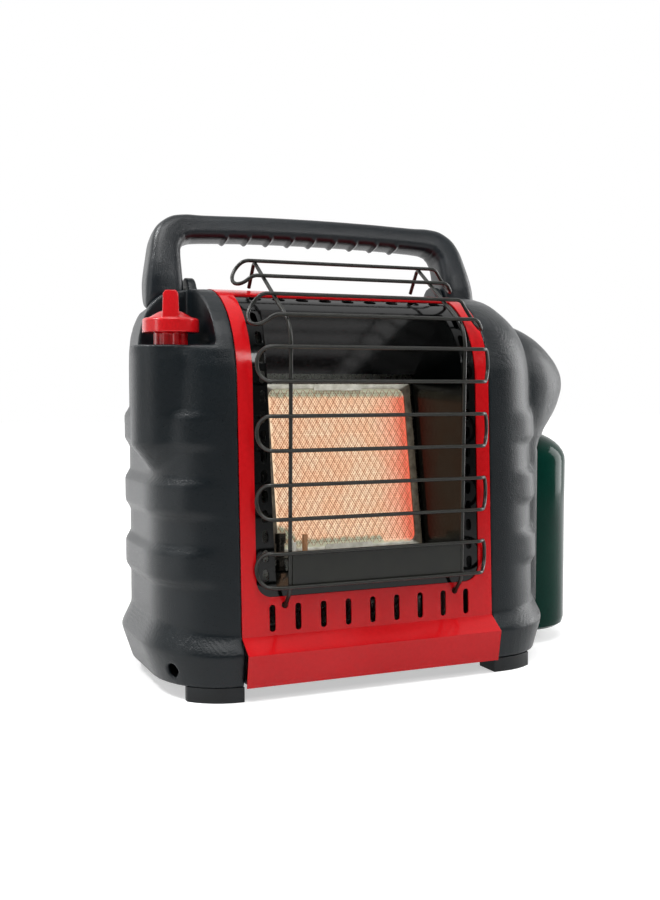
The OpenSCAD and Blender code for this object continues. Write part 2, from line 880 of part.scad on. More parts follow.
module reflector() {
    flange_w = window_w + 9;
    color(enamel)
        seat()
            difference() {
                union() {
                    intersection() {
                        difference() {
                            body_block(flange_w, sheet, window_z - 6);
                            body_block(flange_w + 2, 2 * sheet, window_z - 8);
                        }
                        translate([-half, -front_d - 5, window_z - 5])
                            cube([cover_w, front_d + 5 + window_back + 9, body_h]);
                    }
                    intersection() {
                        funnel(sheet);
                        body_block(flange_w, 1.5 * sheet, flare_z);
                    }
                }
                funnel(0);
                for (s = [-1, 1])
                    for (k = [0 : 13])
                        translate([s * (mouth_w + window_w) / 4, 0, window_z + 16 + k * slot_step])
                            rotate([90, 0, 0])
                                linear_extrude(height = 2 * front_d)
                                    slot(5, 9.5);
                for (k = [-4 : 4])
                    translate([k * 20, window_back - 4, mouth_high])
                        linear_extrude(height = body_h)
                            rotate(90)
                                slot(5.5, 11);
                translate([pilot_x - 10, pilot_y - 12, 0])
                    cube([44, 30, tile_z - frame_h / 2 + 8]);
            }
}

// ---- Pilot group --------------------------------------------------------------------------

pilot_x = -64;
pilot_y = -50;
bracket_z = burner_at(frame_t, -frame_h / 2)[1] - sheet;

module pilot_bracket() {
    color(zinc)
        seat()
            difference() {
                translate([pilot_x - 7, pilot_y - 7, bracket_z])
                    cube([36, 22, sheet]);
                translate([pilot_x, pilot_y, bracket_z - 1])
                    cylinder(h = 4, r = 3.4);
                translate([pilot_x + 11, pilot_y, bracket_z - 1])
                    cylinder(h = 4, r = 2.6);
                translate([pilot_x + 21, pilot_y, bracket_z - 1])
                    cylinder(h = 4, r = 2.2);
            }
}

module pilot_burner() {
    color(brass)
        seat()
            translate([pilot_x, pilot_y, bracket_z]) {
                translate([0, 0, -14])
                    cylinder(h = 26, r = 3.4);
                translate([0, 0, -14])
                    cylinder(h = 8, r = 4.6, $fn = 6);
                difference() {
                    translate([0, 0, 12])
                        cylinder(h = 8, r = 4.4);
                    translate([-6, 0, 14])
                        cube([12, 6, 10]);
                }
            }
}

module spark_electrode() {
    color("#e8e4da")
        seat()
            translate([pilot_x + 11, pilot_y, bracket_z]) {
                translate([0, 0, -10])
                    cylinder(h = 22, r = 2.6);
                translate([0, 0, 12])
                    rotate([0, -35, 0])
                        cylinder(h = 7, r = 0.7);
            }
}

module thermocouple() {
    color("#a8703c")
        seat()
            translate([pilot_x + 21, pilot_y, bracket_z - 16])
                cylinder(h = 34, r = 2.2);
}

// ---- Valve and its tubes ------------------------------------------------------------------

valve_w = 20;
valve_top = shelf_z - wall - 5;
valve_low = valve_top - 34;
stem_r = stem_d / 2;
knob_z = shelf_z - 1.5;
skirt_r = 13;
skirt_hole_r = skirt_r + skirt_room;
tube_r = 3;
pilot_tube_r = 1.6;
run_z = pan_z + 14;
pilot_run_z = pan_z + 32;
port_y = gas_y;
tube_bend = 10;
plunger_h = 10;

module valve_body() {
    color(brass)
        seat()
            difference() {
                union() {
                    translate([-knob_x - valve_w / 2, knob_y - valve_w / 2, valve_low])
                        cube([valve_w, valve_w / 2 + port_y - knob_y + 7, valve_top - valve_low]);
                    translate([-knob_x + 3.5, pilot_y - 4.5, valve_low])
                        cube([9, knob_y - pilot_y, 16]);
                    translate([-knob_x, port_y, valve_low - 6])
                        cylinder(h = 6.01, r = 5.5);
                    translate([-knob_x + 8, pilot_y, valve_low - 5])
                        cylinder(h = 5.01, r = 3.5);
                }
                translate([-knob_x, knob_y, valve_low + 5])
                    cylinder(h = 60, r = stem_r + run_gap);
            }
}

module valve_bracket() {
    leg_x = valve_w / 2;
    plate_r = skirt_hole_r + 2;
    color(zinc)
        seat()
            translate([-knob_x, knob_y, shelf_z - wall - sheet])
                difference() {
                    union() {
                        cylinder(h = sheet, r = plate_r);
                        translate([-leg_x - sheet, 0, 0])
                            cube([2 * leg_x + 2 * sheet, 28, sheet]);
                        for (s = [-1, 1])
                            translate([s < 0 ? -leg_x - sheet : leg_x, -8, -22])
                                cube([sheet, 34, 22.01]);
                    }
                    translate([0, 0, -1])
                        cylinder(h = 4, r = skirt_hole_r);
                    translate([0, 0, -8])
                        cylinder(h = 12, r = skirt_r + 1);
                }
}

module valve_plunger() {
    color(zinc)
        seat()
            translate([-knob_x, knob_y, valve_low + 5 + knob_travel + 2])
                cylinder(h = plunger_h, r = stem_r);
}

stem_low = valve_low + 5 + knob_travel + 2 + plunger_h + 0.3;

module valve_stem() {
    color(brass)
        seat()
            translate([-knob_x, knob_y, stem_low])
                cylinder(h = knob_z + 20 - stem_low, r = stem_r);
}

module control_knob() {
    disc_low = 11;
    disc_h = 11;
    disc_r = knob_d / 2;
    blade = [6.6, 5.7, 4];
    color(knob_red)
        seat()
            translate([-knob_x, knob_y, knob_z])
                difference() {
                    union() {
                        cylinder(h = disc_low, r = skirt_r);
                        translate([0, 0, disc_low])
                            cylinder(h = disc_h - 1.5, r = disc_r);
                        translate([0, 0, disc_low + disc_h - 1.5])
                            cylinder(h = 1.5, r1 = disc_r, r2 = disc_r - 1.6);
                        translate([0, 0, disc_low + disc_h])
                            cylinder(h = 5, r1 = disc_r - 4, r2 = blade[0] + 2);
                        intersection() {
                            rotate([0, 0, -15])
                                rotate([90, 0, 0])
                                    linear_extrude(height = 2 * disc_r, center = true)
                                        polygon([[-blade[0], disc_low + 2], [blade[0], disc_low + 2],
                                                 [blade[1], knob_h - 2.5], [blade[2], knob_h],
                                                 [-blade[2], knob_h], [-blade[1], knob_h - 2.5]]);
                            cylinder(h = knob_h + 20, r1 = disc_r + 0.4, r2 = disc_r - 4.2);
                        }
                    }
                    translate([0, 0, -1])
                        cylinder(h = 21, r = stem_r);
                    for (a = [15 : 40 : 335])
                        rotate(a)
                            translate([skirt_r + 2.2, 0, -1])
                                cylinder(h = disc_low + 0.4, r = 3.6);
                }
}

module gas_tube() {
    drop = valve_low - 6 - run_z - tube_bend;
    run = orifice_x + 18 + tube_bend + 4 + knob_x - 2 * tube_bend;
    color("#9a9c98")
        seat()
            translate([-knob_x, port_y, valve_low - 6])
                rotate([180, 0, 0])
                    bent_wire([[drop, 0, 90, tube_bend],
                               [run, 0, 90, tube_bend],
                               [venturi_z - run_z - 2 * tube_bend, 0, 90, tube_bend],
                               [4, 0, 0, 0]], tube_r);
}

module pilot_tube() {
    bend_r = 7;
    color("#9a9c98")
        seat()
            translate([-knob_x + 8, pilot_y, valve_low - 5])
                rotate([180, 0, 0])
                    bent_wire([[valve_low - 5 - pilot_run_z - bend_r, 0, 90, bend_r],
                               [pilot_x + knob_x - 8 - 2 * bend_r, 0, 90, bend_r],
                               [bracket_z - 14 - pilot_run_z - bend_r, 0, 0, 0]], pilot_tube_r);
}

module supply_tube() {
    run = tank_x - 8 + knob_x - tube_bend;
    color("#9a9c98")
        seat()
            translate([tank_x - 8, supply_y, swing_z])
                rotate([0, -90, 0])
                    bent_wire([[run, -90, 90, tube_bend],
                               [supply_y - tube_bend - port_y - 7, 0, 0, 0]], supply_r);
}

module igniter() {
    color("#202224")
        seat()
            translate([-knob_x + skirt_hole_r + 9, knob_y + 4, shelf_z - wall - 44])
                union() {
                    cylinder(h = 44, r = 5.5);
                    translate([0, 0, 6])
                        cylinder(h = 10, r = 7);
                }
}

switch_w = 26;
switch_d = 34;
switch_h = 24;
switch_gap = 4;
switch_step = 5;

module tip_switch() {
    color("#202224")
        seat()
            translate([-half - switch_gap - switch_w, rear_d - tab_back - switch_gap / 2 - switch_d,
                       pan_z])
                union() {
                    cube([switch_w, switch_d, switch_h]);
                    translate([switch_gap, switch_step, switch_h])
                        cube([switch_w - 2 * switch_gap, switch_d - 2 * switch_step, switch_step]);
                }
}

// ---- Regulator and cylinder -----------------------------------------------------------------

reg_r = reg_d / 2;
reg_t = 34;
socket_low = swing_z - 37;
socket_r = 12.7;
thread_gap = 0.08;
core_r = 2.5;

module swivel_fitting() {
    color(brass)
        seat()
            translate([tank_x, tank_y, swing_z])
                rotate([-90, 0, 0]) {
                    translate([0, 0, reg_t / 2 - 8])
                        cylinder(h = room_r + spindle_seat - reg_t / 2 + 8, r = spindle_r);
                    translate([0, 0, reg_t / 2 + fit_gap])
                        cylinder(h = 12, r = 8);
                }
}

module regulator_body() {
    color("#85888a")
        seat()
            difference() {
                translate([tank_x, tank_y, 0]) {
                    translate([0, -reg_t / 2, swing_z])
                        rotate([-90, 0, 0])
                            cylinder(h = reg_t, r = reg_r);
                    translate([0, 0, socket_low])
                        cylinder(h = 24, r = socket_r + 3);
                }
                translate([tank_x, tank_y + reg_t / 2 - 8.5, swing_z])
                    rotate([-90, 0, 0])
                        cylinder(h = 10, r = spindle_r + run_gap);
                tank_axis()
                    translate([0, 0, socket_low - 1])
                        cylinder(h = 16, r = socket_r);
            }
}

module regulator_cap() {
    color("#4a4d50")
        seat()
            translate([tank_x, tank_y - reg_t / 2, swing_z])
                rotate([90, 0, 0]) {
                    cylinder(h = 3, r = reg_r);
                    translate([0, 0, 3])
                        cylinder(h = 4, r1 = reg_r - 3, r2 = reg_r - 9);
                }
}

shoulder_rise = 29;
tank_wall = 1.3;
neck_r = 9;
neck_z = tank_top_z + shoulder_rise - 0.5;

// Outline of the cylinder's steel, drawn in from its surface.
module tank_profile(inset) {
    r = tank_r - inset;
    polygon(concat([[0, tank_z + 6 + inset], [r * 0.55, tank_z + 4 + inset],
                    [r * 0.76, tank_z + inset], [r * 0.9, tank_z + inset],
                    [r * 0.97, tank_z + 2.5 + inset], [r, tank_z + 8]],
                   [for (a = [0 : 9 : 90])
                       [r * cos(a), tank_top_z + (shoulder_rise - inset) * sin(a)]]));
}

module tank_shell() {
    color(tank_green)
        seat()
            tank_axis()
                difference() {
                    rotate_extrude()
                        tank_profile(0);
                    rotate_extrude()
                        tank_profile(tank_wall);
                    translate([0, 0, neck_z - 8])
                        cylinder(h = 20, r = neck_r);
                }
}

module tank_valve() {
    color(brass)
        seat()
            tank_axis()
                difference() {
                    union() {
                        translate([0, 0, neck_z - 4])
                            cylinder(h = 4.5, r = neck_r);
                        translate([0, 0, neck_z + 0.5])
                            cylinder(h = 16, r = socket_r - thread_gap);
                    }
                    translate([0, 0, neck_z + 6])
                        cylinder(h = 20, r = core_r + run_gap);
                }
}

module tank_valve_core() {
    color(zinc)
        seat()
            tank_axis()
                translate([0, 0, neck_z + 6.3])
                    cylinder(h = 9, r = core_r);
}

// ---- Handle -------------------------------------------------------------------------------

// Heights along the arms are measured from the pivot, before the handle leans back.
grip_rise = handle_h - pivot_z - grip_t / 2 + 0.8;
grip_half = handle_d / 2 - 4.5;
arch = 4;
arm_mid = arm_x + arm_w / 2 + 1.4;
arm_top = [arm_mid - 3.2, 38];
arm_turn_r = grip_rise - arch - arm_top[1];
finger_pitch = 20;
grip_end = arm_top[0] - arm_turn_r;

// Stations of the handle: [x, rise, direction, half thickness, half depth].
function grip_arch(x) = arch * (1 - (x / grip_end) * (x / grip_end));
function finger(x) = let (u = (abs(x) / finger_pitch + (finger_count % 2) / 2) % 1)
    abs(x) > finger_pitch * finger_count / 2 ? 0 : pow(sin(180 * u), 4);
arm_stations = [[arm_mid, 0, 90, 16.4, knuckle_r + 0.1],
                [arm_mid - 0.4, 13, 91, 15.6, handle_d / 2],
                [arm_mid - 1.9, 27, 94, 13.9, handle_d / 2 - 0.5],
                [arm_top[0], arm_top[1], 94, 12.6, handle_d / 2 - 1.5]];
turn_stations = [for (a = [15 : 15 : 90])
    let (swell = sin(2 * a), r = arm_turn_r + 1.2 * swell)
        [arm_top[0] - arm_turn_r + r * cos(a), arm_top[1] + r * sin(a), 90 + a,
         blend(12.6, grip_t / 2, a / 90) + 1.9 * swell,
         blend(handle_d / 2 - 1.5, grip_half, a / 90)]];
grip_stations = [for (k = [1 : 53]) let (x = grip_end * (1 - 2 * k / 54))
    [x, grip_rise - arch + grip_arch(x), 180, grip_t / 2, grip_half]];
half_run = concat(arm_stations, turn_stations);
handle_run = concat(half_run, grip_stations,
    [for (i = [len(half_run) - 1 : -1 : 0]) let (s = half_run[i])
        [-s[0], s[1], 360 - s[2], s[3], s[4]]]);

function super(v, p) = sign(v) * pow(abs(v), 2 / p);
function handle_ring(s) = let (n = 16)
    [for (k = [0 : n - 1])
        let (a = 360 * k / n, u = super(cos(a), 4) * s[3], v = super(sin(a), 4) * s[4],
             dip = (cos(a) < -0.3 && s[2] == 180) ? 1.6 * finger(s[0]) : 0)
        [s[0] + (u - dip) * sin(s[2]), v, s[1] - (u - dip) * cos(s[2])]];

module handle() {
    color(charcoal)
        seat()
            translate([0, pivot_y, pivot_z])
                difference() {
                    union() {
                        rotate([-handle_lean, 0, 0])
                            skin([for (s = handle_run) handle_ring(s)]);
                        for (s = [-1, 1])
                            translate([s < 0 ? -arm_x - arm_w : arm_x, 0, 0])
                                rotate([0, 90, 0])
                                    cylinder(h = arm_w, r = knuckle_r);
                    }
                    for (s = [-1, 1])
                        translate([s < 0 ? -arm_x - arm_w + 3 : arm_x - 1, 0, 0])
                            rotate([0, 90, 0])
                                cylinder(h = arm_w - 2, r = pin_d / 2 + run_gap);
                }
}

module handle_pins() {
    color(zinc)
        seat()
            for (s = [-1, 1])
                translate([s < 0 ? -arm_x - arm_w + 4 : ear_x, pivot_y, pivot_z])
                    rotate([0, 90, 0])
                        cylinder(h = arm_x + arm_w - 4 - ear_x, r = pin_d / 2);
}

// ---- Fasteners ----------------------------------------------------------------------------

module cover_screws() {
    color(zinc)
        seat() {
            for (sx = [-1, 1])
                for (z = [60, 245])
                    translate([sx * (half - 7), rear_d, z])
                        rotate([-90, 0, 0])
                            cylinder(h = 1.6, r = 3.2);
            for (sx = [-1, 1])
                translate([sx * (half - 12), cover_back_y - 8, body_h])
                    cylinder(h = 1.6, r = 3.2);
        }
}

left_housing();
right_housing();
front_cover();
rear_cover();
base_pan();
feet();
heat_shield();
handle();
handle_pins();
reflector();
burner_body();
ceramic_tile();
burner_frame();
burner_screen();
venturi_tube();
burner_orifice();
guard_hoops();
guard_uprights();
guard_plate();
pilot_burner();
spark_electrode();
thermocouple();
pilot_bracket();
gas_tube();
pilot_tube();
supply_tube();
valve_body();
valve_bracket();
valve_plunger();
valve_stem();
control_knob();
igniter();
tip_switch();
swivel_fitting();
regulator_body();
regulator_cap();
tank_shell();
tank_valve();
tank_valve_core();
cover_screws();
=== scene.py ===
# %% [markdown]
# # A portable propane heater
# A small radiant heater of the kind that is carried by its handle: a ceramic tile glows
# behind a wire guard, between two moulded side housings, and a one pound gas cylinder
# screws in under the dome on the right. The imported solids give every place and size, so
# the first step is to load them. Nothing is moved afterwards.

# %% Load the solids
import json
import math
import bmesh
import bpy
import numpy as np
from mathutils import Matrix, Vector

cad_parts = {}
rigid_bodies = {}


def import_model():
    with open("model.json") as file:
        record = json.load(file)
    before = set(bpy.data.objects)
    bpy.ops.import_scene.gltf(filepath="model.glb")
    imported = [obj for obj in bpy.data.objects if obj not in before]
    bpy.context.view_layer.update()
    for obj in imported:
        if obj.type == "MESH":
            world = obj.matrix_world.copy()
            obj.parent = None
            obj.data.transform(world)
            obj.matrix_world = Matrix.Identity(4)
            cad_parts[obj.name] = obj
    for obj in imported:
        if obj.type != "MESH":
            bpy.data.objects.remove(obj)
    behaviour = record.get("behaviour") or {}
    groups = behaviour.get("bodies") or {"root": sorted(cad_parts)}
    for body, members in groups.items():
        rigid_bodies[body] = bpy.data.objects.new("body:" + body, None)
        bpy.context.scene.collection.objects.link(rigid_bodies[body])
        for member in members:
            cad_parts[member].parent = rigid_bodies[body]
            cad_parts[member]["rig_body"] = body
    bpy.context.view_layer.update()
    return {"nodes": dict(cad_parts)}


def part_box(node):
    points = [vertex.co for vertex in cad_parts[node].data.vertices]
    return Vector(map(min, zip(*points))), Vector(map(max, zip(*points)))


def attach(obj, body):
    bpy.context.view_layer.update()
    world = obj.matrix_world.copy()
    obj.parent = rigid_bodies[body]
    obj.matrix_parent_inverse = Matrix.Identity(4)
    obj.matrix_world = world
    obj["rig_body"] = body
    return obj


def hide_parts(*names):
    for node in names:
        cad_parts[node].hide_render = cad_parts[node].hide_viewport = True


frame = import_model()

nodes = frame["nodes"]

# %% [markdown]
# ## Where things are
# Sizes on a heater are easiest to read in millimetres from a plain datum: x from the
# middle of the red cover, y from the body's middle plane, which lies 101.5 mm behind the
# edge of the cover's toe, and z from the ground. The datum is measured from the cover's
# own solid, so it follows the solids if they change.

# %% The datum
MM = 0.001
TOE = 101.5
cover_low, cover_high = (np.array(corner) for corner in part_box("front_cover"))
datum = np.array([(cover_low[0] + cover_high[0]) / 2, cover_low[1] + TOE * MM, 0.0])


def placed(points):
    """Points in millimetres from the datum, as metres in the shared frame."""
    return np.asarray(points, dtype=float) * MM + datum


print("datum at", datum.round(4))

# %% [markdown]
# ## From numbers to meshes
# A surface is a grid of points: rows follow one parameter and columns the other. Joining
# each point to its neighbours gives quads, and a closed direction joins its last row to
# its first. Whole arrays go into the mesh at once, which is quick and keeps the formula
# of a shape in one place.

# %% Faces of a grid


def quads_of(rows, columns, close_rows, close_columns):
    """Corner numbers of the quads of a grid, as an array of four columns."""
    r = np.arange(rows if close_rows else rows - 1)[:, None]
    c = np.arange(columns if close_columns else columns - 1)[None, :]
    r2, c2 = (r + 1) % rows, (c + 1) % columns
    corners = [r * columns + c, r * columns + c2, r2 * columns + c2, r2 * columns + c]
    return np.stack([np.broadcast_to(k, (r.size, c.size)).ravel() for k in corners], axis=1)


def ring_part(grid):
    """Points and faces of a grid that closes on itself both ways, such as a ring."""
    return grid.reshape(-1, 3), quads_of(*grid.shape[:2], True, True).tolist()


def tube_part(grid):
    """Points and faces of a tube: its rows are rings, and a flat cap closes either end."""
    rings, sides = grid.shape[:2]
    caps = [list(range(sides))[::-1], list(range((rings - 1) * sides, rings * sides))]
    return grid.reshape(-1, 3), quads_of(rings, sides, False, True).tolist() + caps


print("a grid of 3 by 4 has", len(quads_of(3, 4, False, False)), "quads")

# %% Points and faces into objects


def add_object(name, mesh, body):
    """Puts a mesh into the scene and makes it move with a body of the heater."""
    made = bpy.data.objects.new(name, mesh)
    bpy.context.scene.collection.objects.link(made)
    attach(made, body)
    return made


def one_mesh(name, parts, body):
    """One object from several closed grids, given as (points, faces)."""
    points, faces, start = [], [], 0
    for part_points, part_faces in parts:
        points.append(part_points)
        faces += [[corner + start for corner in face] for face in part_faces]
        start += len(part_points)
    mesh = bpy.data.meshes.new(name)
    mesh.from_pydata(placed(np.concatenate(points)), [], faces)
    shape = bmesh.new()
    shape.from_mesh(mesh)
    bmesh.ops.recalc_face_normals(shape, faces=shape.faces)
    shape.to_mesh(mesh)
    shape.free()
    return add_object(name, mesh, body)


def triangles(piece):
    """Number of triangles of a piece's own mesh."""
    return sum(len(face.vertices) - 2 for face in piece.data.polygons)


print("a tube of 2 rings and 3 sides has", len(tube_part(np.zeros((2, 3, 3)))[1]), "faces")

# %% [markdown]
# ## Copies of the solids
# A solid arrives as loose triangles and stays as it is. Where a piece needs soft edges, a
# copy of its mesh is joined first: corners that meet become one vertex, and triangles of
# one flat face become one face. Bevels and smooth shading then have true edges to work on.

# %% Joined copies and their shading
WELD = 2e-6    # metres
FLAT_WITHIN = math.radians(0.4)
CREASE = 35    # degrees


def merged_copy(node, name):
    """A copy of a solid's mesh with its loose triangles joined and flat faces made whole."""
    mesh = nodes[node].data.copy()
    mesh.materials.clear()
    shape = bmesh.new()
    shape.from_mesh(mesh)
    bmesh.ops.remove_doubles(shape, verts=shape.verts, dist=WELD)
    bmesh.ops.dissolve_limit(shape, angle_limit=FLAT_WITHIN, verts=shape.verts,
                             edges=shape.edges)
    shape.to_mesh(mesh)
    shape.free()
    made = add_object(name, mesh, nodes[node]["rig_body"])
    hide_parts(node)
    return made


def settled(piece):
    """Makes the result of a piece's modifiers its own mesh."""
    graph = bpy.context.evaluated_depsgraph_get()
    mesh = bpy.data.meshes.new_from_object(piece.evaluated_get(graph))
    piece.modifiers.clear()
    piece.data = mesh
    return piece


def smooth_all(piece):
    """Smooth shading on every face."""
    faces = piece.data.polygons
    faces.foreach_set("use_smooth", np.ones(len(faces), dtype=bool))


def shade(piece, angle=CREASE):
    """Smooth shading, with creases where two faces meet at more than the angle."""
    smooth_all(piece)
    shape = bmesh.new()
    shape.from_mesh(piece.data)
    limit = math.radians(angle)
    for edge in shape.edges:
        edge.smooth = len(edge.link_faces) == 2 and edge.calc_face_angle(0) < limit
    shape.to_mesh(piece.data)
    shape.free()


print("the cover's solid has", len(nodes["front_cover"].data.polygons), "loose triangles")

# %% [markdown]
# ## Writing materials as sums
# A material is a small sum of noises, masks and colours. Written node by node it is hard
# to read, so one class wraps a socket and lets Python's own operators add the Math nodes.
# Colours go through Mix nodes, since a Math node would turn them grey.

# %% Sockets that can be added up


class Amount:
    """A number that varies over a surface, as the output socket of a node."""

    def __init__(self, owner, socket):
        self.owner = owner
        self.socket = socket

    def run(self, operation, other):
        """The result of a Math node on this amount and another, or a plain number."""
        return self.owner.maths(operation, self, other)

    def __add__(self, other):
        return self.run("ADD", other)

    def __sub__(self, other):
        return self.run("SUBTRACT", other)

    def __rsub__(self, other):
        return self.owner.maths("SUBTRACT", other, self)

    def __mul__(self, other):
        return self.run("MULTIPLY", other)

    __radd__ = __add__
    __rmul__ = __mul__

    def ramp(self, low, high, curve="LINEAR"):
        """0 below low, 1 above high, and a slope of that curve between."""
        return self.owner.node("ShaderNodeMapRange",
                               {"clamp": True, "interpolation_type": curve},
                               {"Value": self, "From Min": low, "From Max": high})


print("amounts can be added, subtracted and multiplied")

# %% Trees of nodes


class Nodes:
    """A tree of shader nodes, with one method that adds any of them."""

    def __init__(self, tree):
        self.tree = tree

    def fill(self, node, key, value):
        """Gives a socket a value, or links it to an amount."""
        socket = node.inputs[key]
        if isinstance(value, Amount):
            self.tree.links.new(value.socket, socket)
        else:
            socket.default_value = value

    def node(self, kind, settings=None, values=None, output=0):
        """Adds a node: its settings first, then the values or links of its sockets."""
        node = self.tree.nodes.new(kind)
        for key, value in (settings or {}).items():
            setattr(node, key, value)
        for key, value in (values or {}).items():
            self.fill(node, key, value)
        return Amount(self, node.outputs[output])

    def maths(self, operation, first, second):
        """A Math node on two amounts or plain numbers."""
        return self.node("ShaderNodeMath", {"operation": operation}, {0: first, 1: second})

    def ray(self, kind):
        """1 for rays of one kind, such as Camera, and 0 for the others."""
        return self.node("ShaderNodeLightPath", output=f"Is {kind} Ray")

    def part(self, vector, axis):
        """One axis of a vector, such as Y."""
        return self.node("ShaderNodeSeparateXYZ", values={0: vector}, output=axis)


print("trees of nodes can be filled")

# %% Finishes


class Finish(Nodes):
    """A material of one Principled shader."""

    def __init__(self, name):
        self.material = bpy.data.materials.new(name)
        self.material.use_nodes = True
        super().__init__(self.material.node_tree)
        self.tree.nodes.clear()
        self.shader = self.tree.nodes.new("ShaderNodeBsdfPrincipled")
        output = self.tree.nodes.new("ShaderNodeOutputMaterial")
        self.tree.links.new(self.shader.outputs[0], output.inputs[0])
        self.place = self.node("ShaderNodeTexCoord", output="Object")

    def noise(self, size, detail=2.0, roughness=0.5):
        """Noise between 0 and 1 whose lumps are about size millimetres across."""
        return self.node("ShaderNodeTexNoise", {},
                         {"Vector": self.place, "Scale": 1.0 / (size * MM),
                          "Detail": detail, "Roughness": roughness})

    def mix(self, factor, low, high):
        """A colour from low to high as factor goes from 0 to 1."""
        node = self.tree.nodes.new("ShaderNodeMix")
        node.data_type = "RGBA"
        self.fill(node, 0, factor)
        for key, value in ((6, low), (7, high)):
            self.fill(node, key, value if isinstance(value, Amount) else (*value, 1.0))
        return Amount(self, node.outputs[2])

    def kept(self, name):
        """A number that was stored on the mesh's vertices."""
        return self.node("ShaderNodeAttribute", {"attribute_name": name}, output="Fac")

    def bump(self, height, depth):
        """A bumped normal, where a height of 1 stands depth millimetres out."""
        self.set("Normal", self.node("ShaderNodeBump", {},
                                     {"Height": height, "Distance": depth * MM}))

    def set(self, key, value):
        """Sets or links a socket of the shader."""
        if isinstance(value, tuple) and len(value) == 3:
            value = (*value, 1.0)
        self.fill(self.shader, key, value)
        return self


def linear(code):
    """A colour such as 2b3134 as the three linear values that a shader wants."""
    parts = np.array([int(code[k:k + 2], 16) for k in (0, 2, 4)]) / 255
    return tuple(np.where(parts > 0.04045, ((parts + 0.055) / 1.055) ** 2.4, parts / 12.92))


print("charcoal is", [round(float(v), 4) for v in linear("2b3134")])

# %% [markdown]
# ## Plain finishes
# Most pieces share one recipe: two tones mixed by a broad mottle, a finer speckle, a
# roughness that varies with it, and a fine bump. What differs is in the table: the two
# tones, the size of the mottle and of the grain in millimetres, the roughness, how
# metallic it is, the depth of the grain, the clear coat over it and its shine.

# %% The table of finishes
TONES = {
    # name: dark, light, mottle, grain, roughness low, high, metal, depth, coat, shine
    "moulded_charcoal": ("060c10", "0f171b", 60, 1.0, 0.26, 0.40, 0.0, 0.28, 0.0, 0.27),
    "handle_charcoal": ("0a0f13", "141b20", 45, 0.9, 0.26, 0.40, 0.0, 0.18, 0.0, 0.36),
    "red_enamel": ("ac080e", "c11017", 90, 3.0, 0.12, 0.20, 0.0, 0.006, 0.0, 0.24),
    "knob_red": ("b30a11", "cc141c", 25, 1.5, 0.16, 0.24, 0.0, 0.004, 0.0, 0.45),
    "black_enamel": ("010202", "020303", 50, 2.5, 0.08, 0.16, 0.0, 0.004, 0.0, 0.34),
    "rear_enamel": ("0a0b0c", "131516", 70, 0.7, 0.35, 0.5, 0.0, 0.02, 0.0, 0.3),
    "guard_black": ("0a0b08", "15170f", 12, 0.8, 0.3, 0.42, 0.0, 0.01, 0.0, 0.4),
    "bright_zinc": ("9fa19b", "c8cac2", 14, 1.2, 0.22, 0.38, 0.9, 0.01, 0.0, 0.5),
    "pan_steel": ("3a3d3f", "4c5052", 30, 1.2, 0.35, 0.5, 0.7, 0.012, 0.0, 0.5),
    "burner_cast": ("7d7f7a", "999b95", 10, 0.7, 0.45, 0.62, 0.75, 0.05, 0.0, 0.5),
    "turned_brass": ("a88638", "caa958", 9, 0.8, 0.22, 0.36, 0.95, 0.01, 0.0, 0.5),
    "tube_aluminium": ("8e908c", "adb0ab", 12, 0.8, 0.28, 0.42, 0.9, 0.01, 0.0, 0.5),
    "pilot_steel": ("33302b", "4a463f", 9, 0.8, 0.22, 0.36, 0.8, 0.01, 0.0, 0.5),
    # A pale, half metallic copper: its own colour, and partly a painted glow for the
    # thermocouple's tip in the pilot flame.
    "copper_painted_glow": ("c98a62", "e6b084", 8, 0.8, 0.3, 0.45, 0.5, 0.01, 0.0, 0.4),
    "fired_ceramic": ("d9d4c6", "f0ede4", 7, 0.8, 0.25, 0.4, 0.0, 0.01, 0.2, 0.5),
    "black_plastic": ("121416", "1e2123", 20, 0.6, 0.38, 0.52, 0.0, 0.02, 0.0, 0.3),
    "foot_rubber": ("0d0f10", "191c1e", 14, 0.5, 0.5, 0.66, 0.0, 0.04, 0.0, 0.3),
    "regulator_zinc": ("6f7274", "8d9193", 10, 0.6, 0.42, 0.58, 0.8, 0.05, 0.0, 0.5),
    "cap_steel": ("45484b", "5e6265", 12, 0.8, 0.3, 0.45, 0.8, 0.02, 0.0, 0.5),
    "cylinder_green": ("04261f", "073128", 80, 2.0, 0.08, 0.14, 0.0, 0.004, 0.0, 0.06),
}
BROAD_SHARE, FINE_SHARE = 0.65, 0.35
COAT_ROUGHNESS = 0.08
print(len(TONES), "rows of two tones")

# %% Finishes from the table


def plain_finish(name):
    """Builds one finish from its row of the table."""
    dark, light, mottle, grain, smooth, rough, metal, depth, coat, shine = TONES[name]
    finish = Finish(name)
    broad = finish.noise(mottle, 3.0)
    fine = finish.noise(grain, 2.0, 0.6)
    tone = (BROAD_SHARE * broad + FINE_SHARE * fine).ramp(0.3, 0.7)
    finish.set("Base Color", finish.mix(tone, linear(dark), linear(light)))
    finish.set("Roughness", smooth + (rough - smooth) * fine.ramp(0.25, 0.75))
    finish.set("Metallic", metal).set("Coat Weight", coat)
    finish.set("Coat Roughness", COAT_ROUGHNESS).set("Specular IOR Level", shine)
    finish.bump(fine, depth)
    return finish


def wear(piece, name):
    """Gives a piece one of the finishes."""
    piece.data.materials.clear()
    piece.data.materials.append(finishes[name].material)


finishes = {name: plain_finish(name) for name in TONES}
print(len(finishes), "plain finishes")

# %% [markdown]
# ## Moulded housings
# The two housings are injection moulded, so no edge on them is sharp: ribs, flange and
# dome all run into the wall with a small radius. Filleting each edge would take long and
# could tear the mesh, so the solid is filled with small cubes, wrapped again and relaxed,
# which rounds every edge by about one cube and keeps the flat places flat. Afterwards the
# flat places need few faces, so the mesh is thinned.

# %% Evening out facets


def points_of(piece):
    """The vertices of a piece in millimetres from the datum."""
    flat = np.empty(len(piece.data.vertices) * 3, dtype=np.float32)
    piece.data.vertices.foreach_get("co", flat)
    return (flat.reshape(-1, 3).astype(float) - datum) / MM


